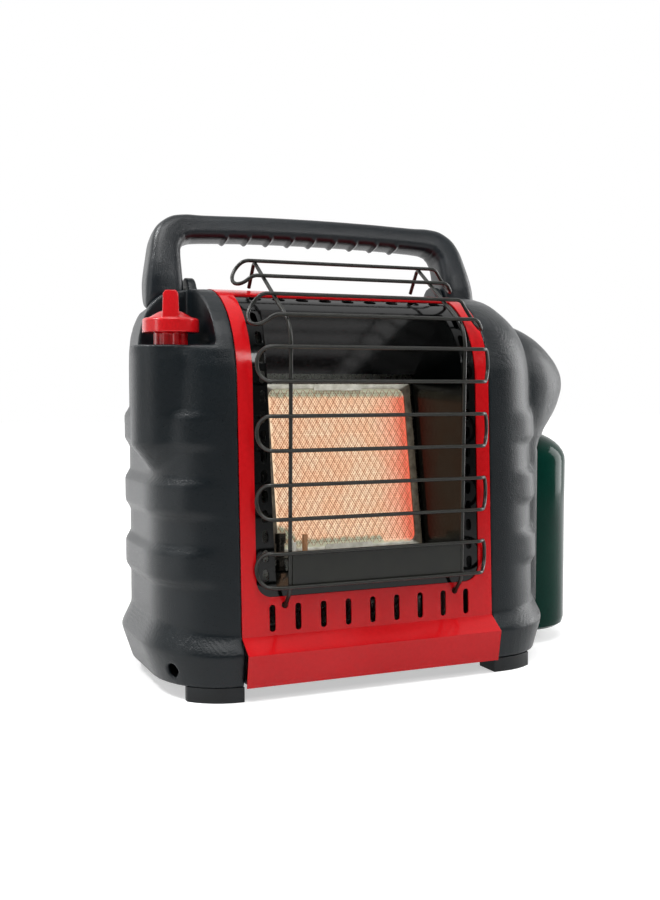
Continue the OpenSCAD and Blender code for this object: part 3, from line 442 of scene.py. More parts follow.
def softened(piece, sideways, everywhere, rounds, flat):
    """Evens out the facets of a remeshed piece.

    Each round moves a vertex half way to the mean of its neighbours. Where the weight
    sideways is 1 only neighbours at about the same height count and heights stay, so
    facets round a corner go and level ribs keep their profile. Where everywhere is 1
    all neighbours count. Both weights are given for each vertex."""
    mesh = piece.data
    pairs = np.empty(len(mesh.edges) * 2, dtype=np.int32)
    mesh.edges.foreach_get("vertices", pairs)
    one, two = pairs.reshape(-1, 2).T
    at = points_of(piece)
    count = len(at)
    level = np.exp(-((at[one, 2] - at[two, 2]) / flat) ** 2)
    share = np.maximum(level, np.minimum(everywhere[one], everywhere[two]))
    total = np.bincount(one, share, count) + np.bincount(two, share, count) + 1e-9
    move = 0.5 * np.stack([np.maximum(sideways, everywhere)] * 2 + [everywhere], axis=1)
    for _ in range(rounds):
        for axis in range(3):
            step = share * (at[two, axis] - at[one, axis])
            pull = np.bincount(one, step, count) - np.bincount(two, step, count)
            at[:, axis] += move[:, axis] * pull / total
    mesh.vertices.foreach_set("co", placed(at).astype(np.float32).ravel())
    mesh.update()


def between(value, low, high):
    """0 below low and 1 above high, with an even curve between, for whole arrays."""
    t = np.clip((value - low) / (high - low), 0, 1)
    return t * t * (3 - 2 * t)


print("halfway up the curve is", between(0.5, 0, 1))

# %% Rounding a moulded piece
SMOOTH_ROUNDS = 40
LEVEL_SHARE = 0.4    # the share of a cube within which neighbours count as level


def moulded(node, name, cube, relax, keep, finish, weights=None):
    """A rounded stand-in for a solid: cubes of that size, relaxed and then thinned."""
    piece = merged_copy(node, name)
    remesh = piece.modifiers.new("Wrap", "REMESH")
    remesh.mode = "VOXEL"
    remesh.voxel_size = cube * MM
    smooth = piece.modifiers.new("Relax", "SMOOTH")
    smooth.factor = 0.5
    smooth.iterations = relax
    settled(piece)
    if weights:
        softened(piece, *weights(points_of(piece)), SMOOTH_ROUNDS, LEVEL_SHARE * cube)
    thin = piece.modifiers.new("Thin", "DECIMATE")
    thin.ratio = keep
    settled(piece)
    smooth_all(piece)
    wear(piece, finish)
    print(name, triangles(piece), "triangles")


print("facets are evened out in", SMOOTH_ROUNDS, "rounds")

# %% [markdown]
# The housings are large, so their facets would show. They are evened out wherever no edge
# has to stay crisp: away from the cover's edge, the knob's pocket, the flare at the base
# and the flat top.

# %% The housings and the knob
COVER_HALF = 108.4
BESIDE_COVER = (COVER_HALF + 2, COVER_HALF + 9)
ABOVE_FLARE, BELOW_TOP = (31, 38), (303, 297)
DOME_SHARE = 0.7


def left_weights(at):
    """Facets go from the left housing, but not at the cover, the knob's pocket or the base."""
    x, y, z = at.T
    pocket = between(x, -118, -112) + between(y, 10, 20) + between(z, 262, 254)
    free = between(-x, *BESIDE_COVER) * np.clip(pocket, 0, 1)
    return free * between(z, *ABOVE_FLARE) * between(z, *BELOW_TOP), np.zeros(len(x))


def right_weights(at):
    """The same for the right housing, whose dome is evened out in every direction."""
    x, y, z = at.T
    free = between(x, *BESIDE_COVER) * between(z, *ABOVE_FLARE)
    dome = between(x, 140, 152) * between(z, 196, 208)
    return free * between(z, *BELOW_TOP), DOME_SHARE * dome * free


moulded("left_housing", "left_housing_shell", 1.3, 4, 0.42, "moulded_charcoal", left_weights)
moulded("right_housing", "right_housing_shell", 1.4, 4, 0.36, "moulded_charcoal", right_weights)
moulded("control_knob", "gas_knob", 0.45, 3, 0.6, "knob_red")

# %% [markdown]
# ## The carrying handle
# The handle is one bar bent to a bracket, which stands on two pivots and leans back when
# it is raised. Its outline is a list of stations along the bar: how far across, how far
# above the pivots, and half the bar's thickness and depth there. The list is drawn out
# to hundreds of rings and smoothed, so the arms run into the grip without a lump. Fingers
# hold narrow ribs under the grip.

# %% Stations of the handle
PIVOT = np.array([0.0, 28.0, 311.0])
HANDLE_LEAN = math.radians(16)
STATIONS = np.array([
    # across, above the pivots, half thickness, half depth
    [136.4, 0.0, 16.2, 13.6], [136.2, 9.0, 15.8, 15.4], [135.2, 20.0, 14.7, 15.9],
    [134.0, 31.0, 13.4, 15.4], [132.6, 40.0, 12.9, 14.7], [128.6, 48.5, 13.2, 13.7],
    [121.5, 54.6, 12.4, 12.8], [112.0, 57.0, 11.2, 12.0], [100.0, 57.4, 10.5, 11.6],
    [80.0, 58.2, 10.3, 11.5], [60.0, 58.9, 10.3, 11.5], [30.0, 59.4, 10.3, 11.5],
    [0.0, 59.6, 10.3, 11.5]])
RIB_PITCH, RIB_COUNT, RIB_HIGH, RIB_WIDE = 20.0, 9, 2.0, 1.7
RING_STEP, SMOOTH_OVER = 0.8, 7.0


def drawn_out(rows, step):
    """Rows of numbers at an even spacing along their path, smoothed over a few steps."""
    length = np.concatenate([[0], np.cumsum(np.hypot(*np.diff(rows[:, :2], axis=0).T))])
    even = np.linspace(0, length[-1], int(length[-1] / step))
    dense = np.stack([np.interp(even, length, column) for column in rows.T], axis=1)
    reach = int(SMOOTH_OVER / step)
    bell = np.exp(-np.linspace(-2, 2, 2 * reach + 1) ** 2)
    bell /= bell.sum()
    padded = np.concatenate([2 * dense[0] - dense[reach:0:-1], dense,
                             2 * dense[-1] - dense[-2:-reach - 2:-1]])
    return np.stack([np.convolve(column, bell, "valid") for column in padded.T], axis=1)


bar = drawn_out(np.concatenate([STATIONS, STATIONS[-2::-1] * [-1, 1, 1, 1]]), RING_STEP)
print(len(bar), "rings from", len(STATIONS), "stations on each side")

# %% [markdown]
# Each ring is an oval with full corners: x = |cos t|^p and y = |sin t|^p, both with the
# sign of the cosine or sine, where p below 1 fills the corners. A rib is a small bell curve
# along the bar, and only thickens the underside of the grip.

# %% Rings round the bar
SIDES, FULLNESS = 56, 0.62
UNDERSIDE = (0.45, 0.75)
GRIP_ABOVE, RIB_ROOM = 50, 5


def full_oval(wave):
    """A cosine or sine wave with its corners filled."""
    return np.sign(wave) * np.abs(wave) ** FULLNESS


along = np.gradient(bar[:, :2], axis=0)
along /= np.linalg.norm(along, axis=1)[:, None]
outward = np.stack([along[:, 1], -along[:, 0]], axis=1)
turn = np.linspace(0, 2 * np.pi, SIDES, endpoint=False)
nearest = np.abs(bar[:, 0] - RIB_PITCH * np.round(bar[:, 0] / RIB_PITCH))
rib = RIB_HIGH * np.exp(-(nearest / RIB_WIDE) ** 2)
rib *= (np.abs(bar[:, 0]) < RIB_PITCH * (RIB_COUNT // 2) + RIB_ROOM) * (bar[:, 1] > GRIP_ABOVE)
under = between(-np.cos(turn), *UNDERSIDE)
thick = bar[:, 2, None] * full_oval(np.cos(turn)) - rib[:, None] * under
rings = np.stack([bar[:, 0, None] + thick * outward[:, 0, None],
                  bar[:, 3, None] * full_oval(np.sin(turn)),
                  bar[:, 1, None] + thick * outward[:, 1, None]], axis=-1)
print("the grip has", RIB_COUNT, "ribs of", RIB_HIGH, "mm")

# %% The handle's ends and its lean
DRUM_STEPS = np.radians([82, 70, 56, 42, 28, 14])
DRUM_R, DRUM_TAPER = 13.4, 0.12
HANDLE_CREASE = 50


def pivot_end(ring):
    """Rings that round an arm off below its pivot, like half a drum."""
    middle_x, middle_z = ring[:, 0].mean(), ring[:, 2].mean()
    low = []
    for angle in DRUM_STEPS:
        shrunk = ring.copy()
        shrunk[:, 0] = middle_x + (ring[:, 0] - middle_x) * (
            1 - DRUM_TAPER * math.sin(angle) ** 6)
        shrunk[:, 1] = ring[:, 1] * math.cos(angle)
        shrunk[:, 2] = middle_z - DRUM_R * math.sin(angle)
        low.append(shrunk)
    return np.array(low)


rings = np.concatenate([pivot_end(rings[0]), rings, pivot_end(rings[-1])[::-1]])
back_by, rise = rings[..., 1].copy(), rings[..., 2].copy()
rings[..., 1] = PIVOT[1] + back_by * math.cos(HANDLE_LEAN) + rise * math.sin(HANDLE_LEAN)
rings[..., 2] = PIVOT[2] - back_by * math.sin(HANDLE_LEAN) + rise * math.cos(HANDLE_LEAN)
handle = one_mesh("carry_handle", [tube_part(rings)], nodes["handle"]["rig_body"])
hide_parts("handle")
shade(handle, HANDLE_CREASE)
wear(handle, "handle_charcoal")
print("carry_handle", triangles(handle), "triangles")

# %% [markdown]
# ## Sheet metal, wires and turned pieces
# These solids already have the right shape. A copy with its triangles joined takes a
# narrow bevel, which catches the light as a folded or sawn edge does, and smooth shading
# over its curves.

# %% Bevelled copies
BEVEL_STEPS = 2
FACE_RULE = 100    # how far large faces rule the normals


def edged(node, name, finish, width, angle):
    """A joined copy of a solid with its edges broken by a bevel of that width.

    Edges sharper than the angle are broken. Large faces rule the normals, so that a flat
    sheet shades flat up to its bevels."""
    piece = merged_copy(node, name)
    if width:
        bevel = piece.modifiers.new("Edge", "BEVEL")
        bevel.width = width * MM
        bevel.segments = BEVEL_STEPS
        bevel.limit_method = "ANGLE"
        bevel.angle_limit = math.radians(angle)
        bevel.use_clamp_overlap = True
        settled(piece)
    shade(piece, angle)
    if width:
        weigh = piece.modifiers.new("Weigh", "WEIGHTED_NORMAL")
        weigh.weight = FACE_RULE
        weigh.keep_sharp = True
        settled(piece)
    wear(piece, finish)


SHALLOW = 14    # the cover's folds turn by less than a usual crease
EDGED = [
    # solid, name, finish, width of the bevel in millimetres, angle in degrees
    ("front_cover", "red_cover", "red_enamel", 0.7, SHALLOW),
    ("rear_cover", "back_cover", "rear_enamel", 0.3, CREASE),
    ("reflector", "reflector_pan", "black_enamel", 0.3, CREASE),
    ("guard_uprights", "guard_upright_wires", "guard_black", 0, CREASE),
    ("guard_plate", "guard_name_plate", "guard_black", 0.3, CREASE),
    ("feet", "rubber_feet", "foot_rubber", 0.8, CREASE),
    ("tank_shell", "gas_cylinder", "cylinder_green", 0, CREASE),
    ("regulator_cap", "regulator_cover", "cap_steel", 0.4, CREASE),
    ("cover_screws", "panel_screws", "bright_zinc", 0.3, CREASE),
    ("handle_pins", "pivot_pins", "bright_zinc", 0.3, CREASE),
]
for row in EDGED:
    edged(*row)
print(len(EDGED), "bevelled copies")

# %% [markdown]
# ## The guard's hoops
# Each hoop is one closed wire: two bars across the front and a half circle at each end,
# which steps back towards the cover. Its middle line is worked out in the hoop's own
# plane, from the low bar round the right end and back along the high bar, and a circle is
# carried along it. Four hoops stand one above another and lean a degree forwards, and two
# more lie along the slope over the top of the window.

# %% The middle line of a hoop
WIRE_D = 3.0
HOOP_HALF, HOOP_HIGH = 100.5, 25.6
BEND, STEP_BACK = 9.0, math.radians(50)


def hoop_line(high, less=0.0):
    """Middle line of a closed hoop: points (across, back, up) in its own frame."""
    round_r = high / 2
    cos, sin = math.cos(STEP_BACK), math.sin(STEP_BACK)
    straight = HOOP_HALF - less - BEND * sin - round_r * cos - WIRE_D / 2
    low_bar = [(x, 0.0, 0.0) for x in np.linspace(0, straight, 20)]
    bend = [(straight + BEND * math.sin(a), BEND * (1 - math.cos(a)), 0.0)
            for a in np.linspace(0, STEP_BACK, 9)[1:]]
    x0, y0, _ = bend[-1]
    cap = [(x0 + round_r * math.sin(a) * cos, y0 + round_r * math.sin(a) * sin,
            round_r * (1 - math.cos(a))) for a in np.linspace(0, np.pi / 2, 15)[1:]]
    quarter = np.array(low_bar + bend + cap)
    right = np.concatenate([quarter, quarter[-2::-1] * [1, 1, -1] + [0, 0, high]])
    return np.concatenate([right, right[-2:0:-1] * [-1, 1, 1]])


print("a hoop's middle line has", len(hoop_line(HOOP_HIGH)), "points")

# %% Wires along a line
HOOP_SIDES = 12


def swept(line, radius, sides):
    """Rings of a wire round a closed middle line that never runs straight back."""
    along = np.roll(line, -1, axis=0) - np.roll(line, 1, axis=0)
    along /= np.linalg.norm(along, axis=1)[:, None]
    side = np.cross(along, (0.0, 1.0, 0.0))
    side /= np.linalg.norm(side, axis=1)[:, None]
    over = np.cross(side, along)
    turn = np.linspace(0, 2 * np.pi, sides, endpoint=False)[:, None]
    return line[:, None] + radius * (np.cos(turn) * side[:, None] + np.sin(turn) * over[:, None])


def tilted(points, degrees, origin):
    """Points turned about the x axis and moved to an origin."""
    cos, sin = math.cos(math.radians(degrees)), math.sin(math.radians(degrees))
    x, y, z = points[..., 0], points[..., 1], points[..., 2]
    return np.stack([x, y * cos - z * sin, y * sin + z * cos], axis=-1) + origin


def hoop(high, less=0.0):
    """The wire of a closed hoop in its own frame."""
    return swept(hoop_line(high, less), WIRE_D / 2, HOOP_SIDES)


print("a hoop's wire has", hoop(HOOP_HIGH)[..., 0].size, "points")

# %% The six hoops
HOOP_ASIDE = 2.0    # the guard sits a little to the right of the middle
HOOP_Z, GUARD_Y = 85.0, -98.8
FRONT_HOOPS, FORWARD = 4, 1.0
SLOPE_AT, SLOPE = (HOOP_ASIDE, GUARD_Y + 5.8, HOOP_Z + 7 * HOOP_HIGH + 24), -56.3
LOWER_HIGH, UPPER_HIGH, UPPER_LESS, UPPER_RISE = 31.0, 24.4, 2.5, 59.1
GUARD_CREASE = 60

hoops = []
for k in range(FRONT_HOOPS):
    above = 2 * k * HOOP_HIGH
    hoops.append(tilted(hoop(HOOP_HIGH), FORWARD,
                        (HOOP_ASIDE, GUARD_Y - above * math.sin(math.radians(FORWARD)),
                         HOOP_Z + above)))
hoops.append(tilted(hoop(LOWER_HIGH), SLOPE, SLOPE_AT))
hoops.append(tilted(hoop(UPPER_HIGH, UPPER_LESS) + [0, 0, UPPER_RISE], SLOPE, SLOPE_AT))
guard = one_mesh("guard_hoop_wires", [ring_part(ring) for ring in hoops], "chassis")
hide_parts("guard_hoops")
shade(guard, GUARD_CREASE)
wear(guard, "guard_black")
print("guard_hoop_wires", triangles(guard), "triangles")

# %% [markdown]
# ## The glowing tile
# The burner is a ceramic plaque pierced by some thousands of small gas holes in staggered
# rows, with shallow diamond grooves pressed into its face. Cutting each hole would need a
# very large mesh, so the face is one height field: a grid of half a millimetre whose depth
# is a product of two cosines, which gives staggered pits by itself. How deep each point
# lies, and how near it is to the plaque's edge, is kept on the mesh for its glow.

# %% Holes and grooves
LEAN = math.radians(10.5)
TILE_AT = np.array([0.0, -28.8, 169.0])
HOLE_PITCH, HOLE_EDGE = (2.2, 3.5), (-0.05, 0.35)
GROOVE, GROOVE_EDGE = (6.6, 10.8), (0.03, 0.1)


def on_burner(across, depth, up):
    """Points of the leaning burner: across it, in from its front and up its face."""
    across, depth, up = np.broadcast_arrays(across, depth, up)
    return np.stack([TILE_AT[0] + across,
                     TILE_AT[1] + depth * math.cos(LEAN) + up * math.sin(LEAN),
                     TILE_AT[2] - depth * math.sin(LEAN) + up * math.cos(LEAN)], axis=-1)


def pits(across, up):
    """1 in the middle of a gas hole and 0 between holes: a product of two cosines."""
    wave = np.cos(2 * np.pi * across / HOLE_PITCH[0]) * np.cos(2 * np.pi * up / HOLE_PITCH[1])
    return between(wave, *HOLE_EDGE)


def grooves(across, up):
    """1 on the crossing grooves, which part the face into diamonds."""
    lines = [np.abs((across / GROOVE[0] + sign * up / GROOVE[1]) % 1.0 - 0.5)
             for sign in (-1, 1)]
    return 1 - between(np.minimum(*lines), *GROOVE_EDGE)


print("the middle of a hole counts", pits(0.0, 0.0), "and of a groove", grooves(3.3, 0.0))

# %% The plaque's face
TILE_W, TILE_H, TILE_FACE = 126.0, 131.0, 1.6
FACE_ROWS, FACE_COLUMNS = 257, 253
HOLE_DEEP, GROOVE_DEEP = 0.75, 0.3
PLAIN_EDGE = (3.0, 4.0)

up, across = np.meshgrid(np.linspace(-TILE_H / 2, TILE_H / 2, FACE_ROWS),
                         np.linspace(-TILE_W / 2, TILE_W / 2, FACE_COLUMNS), indexing="ij")
edge = np.minimum(TILE_W / 2 - np.abs(across), TILE_H / 2 - np.abs(up))
hole, groove = pits(across, up), grooves(across, up)
inner = between(edge, *PLAIN_EDGE)
depth = TILE_FACE + inner * (HOLE_DEEP * hole + GROOVE_DEEP * groove)
face_grid = on_burner(across, depth, up)
print("the face has", hole.size, "points")

# %% [markdown]
# Along its clamped edges the ceramic stays cold: a strip above, a strip below that narrows
# at the right, and a quarter circle round the lower left corner.

# %% How far inside the glowing part each point lies
COLD_ABOVE, COLD_BELOW, COLD_LESS = 7.0, 6.5, 5.0
COLD_STEP = (29.0, 34.0)
COLD_CORNER = 19.0

low_cold = COLD_BELOW - COLD_LESS * between(across, *COLD_STEP)
corner = np.hypot(across + TILE_W / 2, up + TILE_H / 2) - COLD_CORNER
margin = np.minimum.reduce([TILE_H / 2 - up - COLD_ABOVE, TILE_H / 2 + up - low_cold, corner])
print(round(float((margin > 0).mean()), 2), "of the face glows")

# %% [markdown]
# Behind its face the plaque is a plain block. Its rim is a strip that runs back from the
# edge of the face, closed behind, so the piece has no open side.

# %% The plaque and the numbers for its glow
TILE_BACK = 16.0
OUTSIDE = -9    # the margin of points that never glow
FINE_CREASE = 60


def keep_amount(piece, name, values):
    """Stores one number for each vertex, which a material can read by its name."""
    made = piece.data.attributes.new(name, "FLOAT", "POINT")
    made.data.foreach_set("value", np.asarray(values, dtype=np.float32).ravel())


rows, columns = across.shape
ring = np.concatenate([np.arange(columns - 1), np.arange(rows - 1) * columns + columns - 1,
                       (rows - 1) * columns + np.arange(columns - 1, 0, -1),
                       np.arange(rows - 1, 0, -1) * columns])
face_points = face_grid.reshape(-1, 3)
back = face_points[ring] + (on_burner(0, TILE_BACK, 0) - on_burner(0, TILE_FACE, 0))
far = rows * columns + np.arange(len(ring))
sides = np.stack([ring, far, np.roll(far, -1), np.roll(ring, -1)], axis=1)
faces = quads_of(rows, columns, False, False).tolist() + sides.tolist() + [far.tolist()[::-1]]
plaque = one_mesh("glowing_tile", [(np.concatenate([face_points, back]), faces)], "chassis")
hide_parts("ceramic_tile")
blank = np.zeros(len(back))
for name, values, behind in (("hole", hole * inner, blank), ("groove", groove * inner, blank),
                             ("margin", margin, blank + OUTSIDE), ("across", across, blank)):
    keep_amount(plaque, name, np.concatenate([values.ravel(), behind]))
shade(plaque, FINE_CREASE)
print("glowing_tile", triangles(plaque), "triangles")

# %% [markdown]
# The glow is brightest on the face between the holes, where the flame heats the ceramic,
# and the holes themselves look darker. Along the clamped upper and lower edges the ceramic
# stays cold and pale, and the side away from the pilot burns redder.

# %% The glow
RED_FROM, COOLING_FROM = (36, 68), (52, 66)    # across the plaque, in millimetres
COOLING_SHARE, HOLE_SHARE, GROOVE_SHARE, COLD_HOLE_SHADE_SHARE = 0.8, 0.85, 0.25, 0.8

glow = Finish("glowing_ceramic")
hot = (glow.kept("margin") + 3.0 * (glow.noise(3.5, 1.0) - 0.5)).ramp(-1.0, 1.6)
red_side = (glow.kept("across") + 12 * glow.noise(14, 2.0)).ramp(*RED_FROM)
cooling = (glow.kept("across") + 6 * glow.noise(10, 2.0)).ramp(*COOLING_FROM)
warm = glow.mix(glow.noise(16, 2.0).ramp(0.35, 0.65), linear("ffd6b0"), linear("ffe8c6"))
warm = glow.mix(red_side, warm, linear("ff9a80"))
warm = glow.mix(COOLING_SHARE * cooling, warm, linear("e2452f"))
dark_hole = glow.mix(red_side, linear("9c4f2e"), linear("a83a28"))
burning = glow.mix(HOLE_SHARE * glow.kept("hole"), warm, dark_hole)
burning = glow.mix(GROOVE_SHARE * glow.kept("groove"), burning, dark_hole)
# In the cold strips the holes take a darker base colour: painted shade inside the holes.
cold = glow.mix(COLD_HOLE_SHADE_SHARE * glow.kept("hole"), linear("d9dcc4"), linear("7d8469"))
glow.set("Base Color", glow.mix(hot, cold, linear("4a2a18")))
# The cold strips still emit a faint grey light: painted light, since the cold ceramic does not
# glow.
glow.set("Emission Color", glow.mix(hot, linear("2a2c24"), burning))
glow.set("Emission Strength", 1.0).set("Roughness", 0.8).set("Specular IOR Level", 0.1)
plaque.data.materials.append(glow.material)
print("the glow mixes", len(glow.tree.nodes), "nodes")

# %% [markdown]
# ## The rim
# A pressed steel rim clamps the plaque. It is a band between a plain rectangle and an
# opening with round corners, folded back at both edges, with a small clip in the middle
# of its upper and lower sides. Its upright sides are painted a darker brown-grey: painted
# shade for the sides that turn away from the light, while the top and bottom stay bright.

# %% The pressed band
RIM_W, RIM_H, RIM_R, RIM_DEPTH = 136.0, 138.0, 1.2, 3.0
OPEN_W, OPEN_H, OPEN_R = 123.6, 130.0, 7.0
FOLD = [
    # share of the way from the outer to the inner edge, depth behind the front
    (0.0, RIM_DEPTH), (0.0, 0.5), (0.05, 0.12), (0.12, 0.0), (0.86, 0.0), (0.95, 0.15),
    (1.0, 0.6), (1.0, RIM_DEPTH)]


def rounded(width, height, radius, per_corner=10):
    """Points (across, up) round a rectangle whose corners are quarter circles."""
    points = []
    for k, (sx, sy) in enumerate([(1, 1), (-1, 1), (-1, -1), (1, -1)]):
        turn = np.linspace(k, k + 1, per_corner) * np.pi / 2
        points.append(np.stack([sx * (width / 2 - radius) + radius * np.cos(turn),
                                sy * (height / 2 - radius) + radius * np.sin(turn)], axis=1))
    return np.concatenate(points)


outer, inner_edge = rounded(RIM_W, RIM_H, RIM_R), rounded(OPEN_W, OPEN_H, OPEN_R)
band = []
for share, deep in FOLD:
    line = outer + (inner_edge - outer) * share
    band.append(on_burner(line[:, 0], deep, line[:, 1]))
print("the band has", len(band), "lines of", len(outer), "points")

# %% The clips and the whole rim
CLIP_HALF, CLIP_HIGH, CLIP_SLANT = 22.0, 5.6, 1.5
CLIP_LAP, CLIP_DEPTHS = 0.4, (-0.9, 0.2)
BOX_FACES = [[0, 1, 2, 3], [7, 6, 5, 4], [0, 4, 5, 1], [1, 5, 6, 2], [2, 6, 7, 3],
             [3, 7, 4, 0]]
UPRIGHT_SIDES = (61.5, 63.5)
RIM_CREASE = 40


def clip(side):
    """Points and faces of the clip at the top, 1, or at the bottom, -1."""
    low, high = sorted((side * (RIM_H / 2 - CLIP_LAP), side * (RIM_H / 2 - CLIP_HIGH)))
    box = np.array([(x, d, z) for d in CLIP_DEPTHS
                    for x, z in ((-CLIP_HALF, low), (CLIP_HALF, low),
                                 (CLIP_HALF - CLIP_SLANT, high),
                                 (CLIP_SLANT - CLIP_HALF, high))])
    return on_burner(*box.T), BOX_FACES


clips = [clip(-1), clip(1)]
rim = one_mesh("burner_rim", [ring_part(np.array(band))] + clips, "chassis")
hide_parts("burner_frame")
shade(rim, RIM_CREASE)
# Which points lie on the upright sides, which take the painted shade.
upright = between(np.abs((outer + inner_edge)[:, 0] / 2), *UPRIGHT_SIDES)
clip_points = sum(len(points) for points, _ in clips)
keep_amount(rim, "painted_shade", np.concatenate([np.tile(upright, len(FOLD)),
                                            np.zeros(clip_points)]))
print("burner_rim", triangles(rim), "triangles")

# %% The rim's finish
rim_steel = Finish("rim_steel")
scale = rim_steel.noise(6, 3.0)
bright = rim_steel.mix(scale.ramp(0.3, 0.7), linear("b9b6a6"), linear("e6e4d8"))
# The darker tone is painted shade on the upright sides.
painted_shade_tone = rim_steel.mix(scale.ramp(0.3, 0.7), linear("4a4237"), linear("7b7160"))
rim_steel.set("Base Color", rim_steel.mix(rim_steel.kept("painted_shade"), bright, painted_shade_tone))
rim_steel.set("Metallic", 0.35).set("Roughness", 0.42 + 0.12 * scale)
rim.data.materials.append(rim_steel.material)
print("the rim's finish mixes", len(rim_steel.tree.nodes), "nodes")

# %% [markdown]
# ## The screen
# A mesh of thin wires lies just in front of the plaque. Each wire is a small tube along a
# slanted line, cut to the opening of the rim, and it waves in and out where it crosses the
# other family. All wires of one slant are worked out together.

# %% Slanted lines
SCREEN_W, SCREEN_H = TILE_W - 3.4, TILE_H - 3.0
WAVE_MIDDLE, WAVE_HIGH = 0.4, 0.16
SHORTEST, LINE_STEP = 2, 1.6


def slanted_wires(sign):
    """Middle lines of the wires of one slant: one array [points, 3] for each wire.

    A line is across = offset + sign * up * (GROOVE width / height), from one side of the
    opening to the other, and its depth is a sine with one wave for two crossings."""
    slope = sign * GROOVE[0] / GROOVE[1]
    lines = []
    reach = SCREEN_W / 2 + abs(slope) * SCREEN_H / 2
    for offset in np.arange(-reach, reach, GROOVE[0]) + GROOVE[0] / 2:
        limits = sorted(((-SCREEN_W / 2 - offset) / slope, (SCREEN_W / 2 - offset) / slope))
        low, high = max(limits[0], -SCREEN_H / 2), min(limits[1], SCREEN_H / 2)
        if high - low < SHORTEST:
            continue
        t = np.linspace(low, high, max(3, int((high - low) / LINE_STEP)))
        depth = WAVE_MIDDLE + sign * WAVE_HIGH * np.sin(2 * np.pi * t / GROOVE[1])
        lines.append(np.stack([offset + slope * t, depth, t], axis=-1))
    return lines


lines = slanted_wires(-1) + slanted_wires(1)
print(len(lines), "wires")

# %% Woven wires
WIRE_R, WIRE_SIDES = 0.18, 6


def tube_grid(line, radius, sides):
    """A tube round a nearly straight line: rings of points square to its direction."""
    along = line[-1] - line[0]
    along = along / np.linalg.norm(along)
    side = np.cross(along, (0.0, 1.0, 0.0))
    side /= np.linalg.norm(side)
    over = np.cross(side, along)
    turn = np.linspace(0, 2 * np.pi, sides, endpoint=False)
    ring = radius * (np.cos(turn)[:, None] * side + np.sin(turn)[:, None] * over)
    return line[:, None, :] + ring[None]


tubes = [tube_grid(line, WIRE_R, WIRE_SIDES) for line in lines]
screen = one_mesh("woven_screen",
                  [tube_part(on_burner(*np.moveaxis(tube, -1, 0))) for tube in tubes],
                  "chassis")
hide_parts("burner_screen")
shade(screen, FINE_CREASE)
print("woven_screen", triangles(screen), "triangles")

# %% The hot wires' finish
hot_wire = Finish("hot_screen_wire")
hot_wire.set("Base Color", hot_wire.mix(hot_wire.noise(6, 2.0), linear("4a2e1e"),
                                        linear("6b4129")))
hot_wire.set("Metallic", 0.6).set("Roughness", 0.5)
hot_wire.set("Emission Color", hot_wire.mix(hot_wire.noise(18, 2.0).ramp(0.35, 0.65),
                                            linear("9a5a38"), linear("b97a50")))
hot_wire.set("Emission Strength", 0.6)
screen.data.materials.append(hot_wire.material)
print("the wires' finish mixes", len(hot_wire.tree.nodes), "nodes")

# %% [markdown]
# ## Pieces that keep their solids
# The inner pieces are seen through slots or not at all. Their solids stay and only take a
# finish.

# %% Finishes on the solids
KEPT = {
    "base_pan": "pan_steel", "heat_shield": "bright_zinc", "burner_body": "burner_cast",
    "venturi_tube": "bright_zinc", "burner_orifice": "turned_brass",
    "pilot_burner": "pilot_steel", "spark_electrode": "fired_ceramic",
    # The thermocouple's pale copper is partly a painted glow.
    "thermocouple": "copper_painted_glow", "pilot_bracket": "pilot_steel",
    "gas_tube": "tube_aluminium", "pilot_tube": "tube_aluminium",
    "supply_tube": "tube_aluminium", "valve_body": "turned_brass",
    "valve_bracket": "bright_zinc", "valve_plunger": "bright_zinc",
    "valve_stem": "turned_brass", "igniter": "black_plastic", "tip_switch": "black_plastic",
    "swivel_fitting": "turned_brass", "regulator_body": "regulator_zinc",
    "tank_valve": "turned_brass", "tank_valve_core": "bright_zinc",
}
for node, finish in KEPT.items():
    wear(nodes[node], finish)
print(len(KEPT), "solids keep their own mesh")

# %% [markdown]
# ## The studio
# A pale seamless floor and soft lamps show the object plainly. White that is only seen,
# in the background and in reflections, comes from the world and the floor through the
# Light Path node, so it adds no light of its own. The room before the heater is dim in
# reflections, and they brighten towards the white backdrop behind it, so dark and red
# surfaces that face the room keep their colour.

# %% The world
WORLD_LIGHT = 0.32
ROOM_SHOWN = 0.12    # how bright the room before the heater is in reflections
scene = bpy.context.scene
scene.view_settings.view_transform = "Standard"
world = bpy.data.worlds.new("studio_world")
world.use_nodes = True
scene.world = world
sky = Nodes(world.node_tree)
backdrop = sky.tree.nodes["Background"]
backdrop.inputs["Color"].default_value = (1, 1, 1, 1)

in_front = sky.part(sky.node("ShaderNodeTexCoord", output="Generated"), "Y")
room = ROOM_SHOWN + (1 - ROOM_SHOWN) * in_front.ramp(-0.75, 0.05, "SMOOTHSTEP")
shown = room.run("MAXIMUM", sky.ray("Camera"))
seen = sky.ray("Camera").run("MAXIMUM", sky.ray("Glossy"))
seen = seen.run("MAXIMUM", sky.ray("Transmission"))
sky.fill(backdrop, "Strength", WORLD_LIGHT + seen * (shown - WORLD_LIGHT))
print("the world lights with", WORLD_LIGHT)

# %% The floor
REACH = 6.0    # metres
FLOOR_TONE = (0.7, 0.7, 0.7)
WHITE_FROM, ROOM_EDGE = (0.35, 0.9), (-0.6, 0.0)

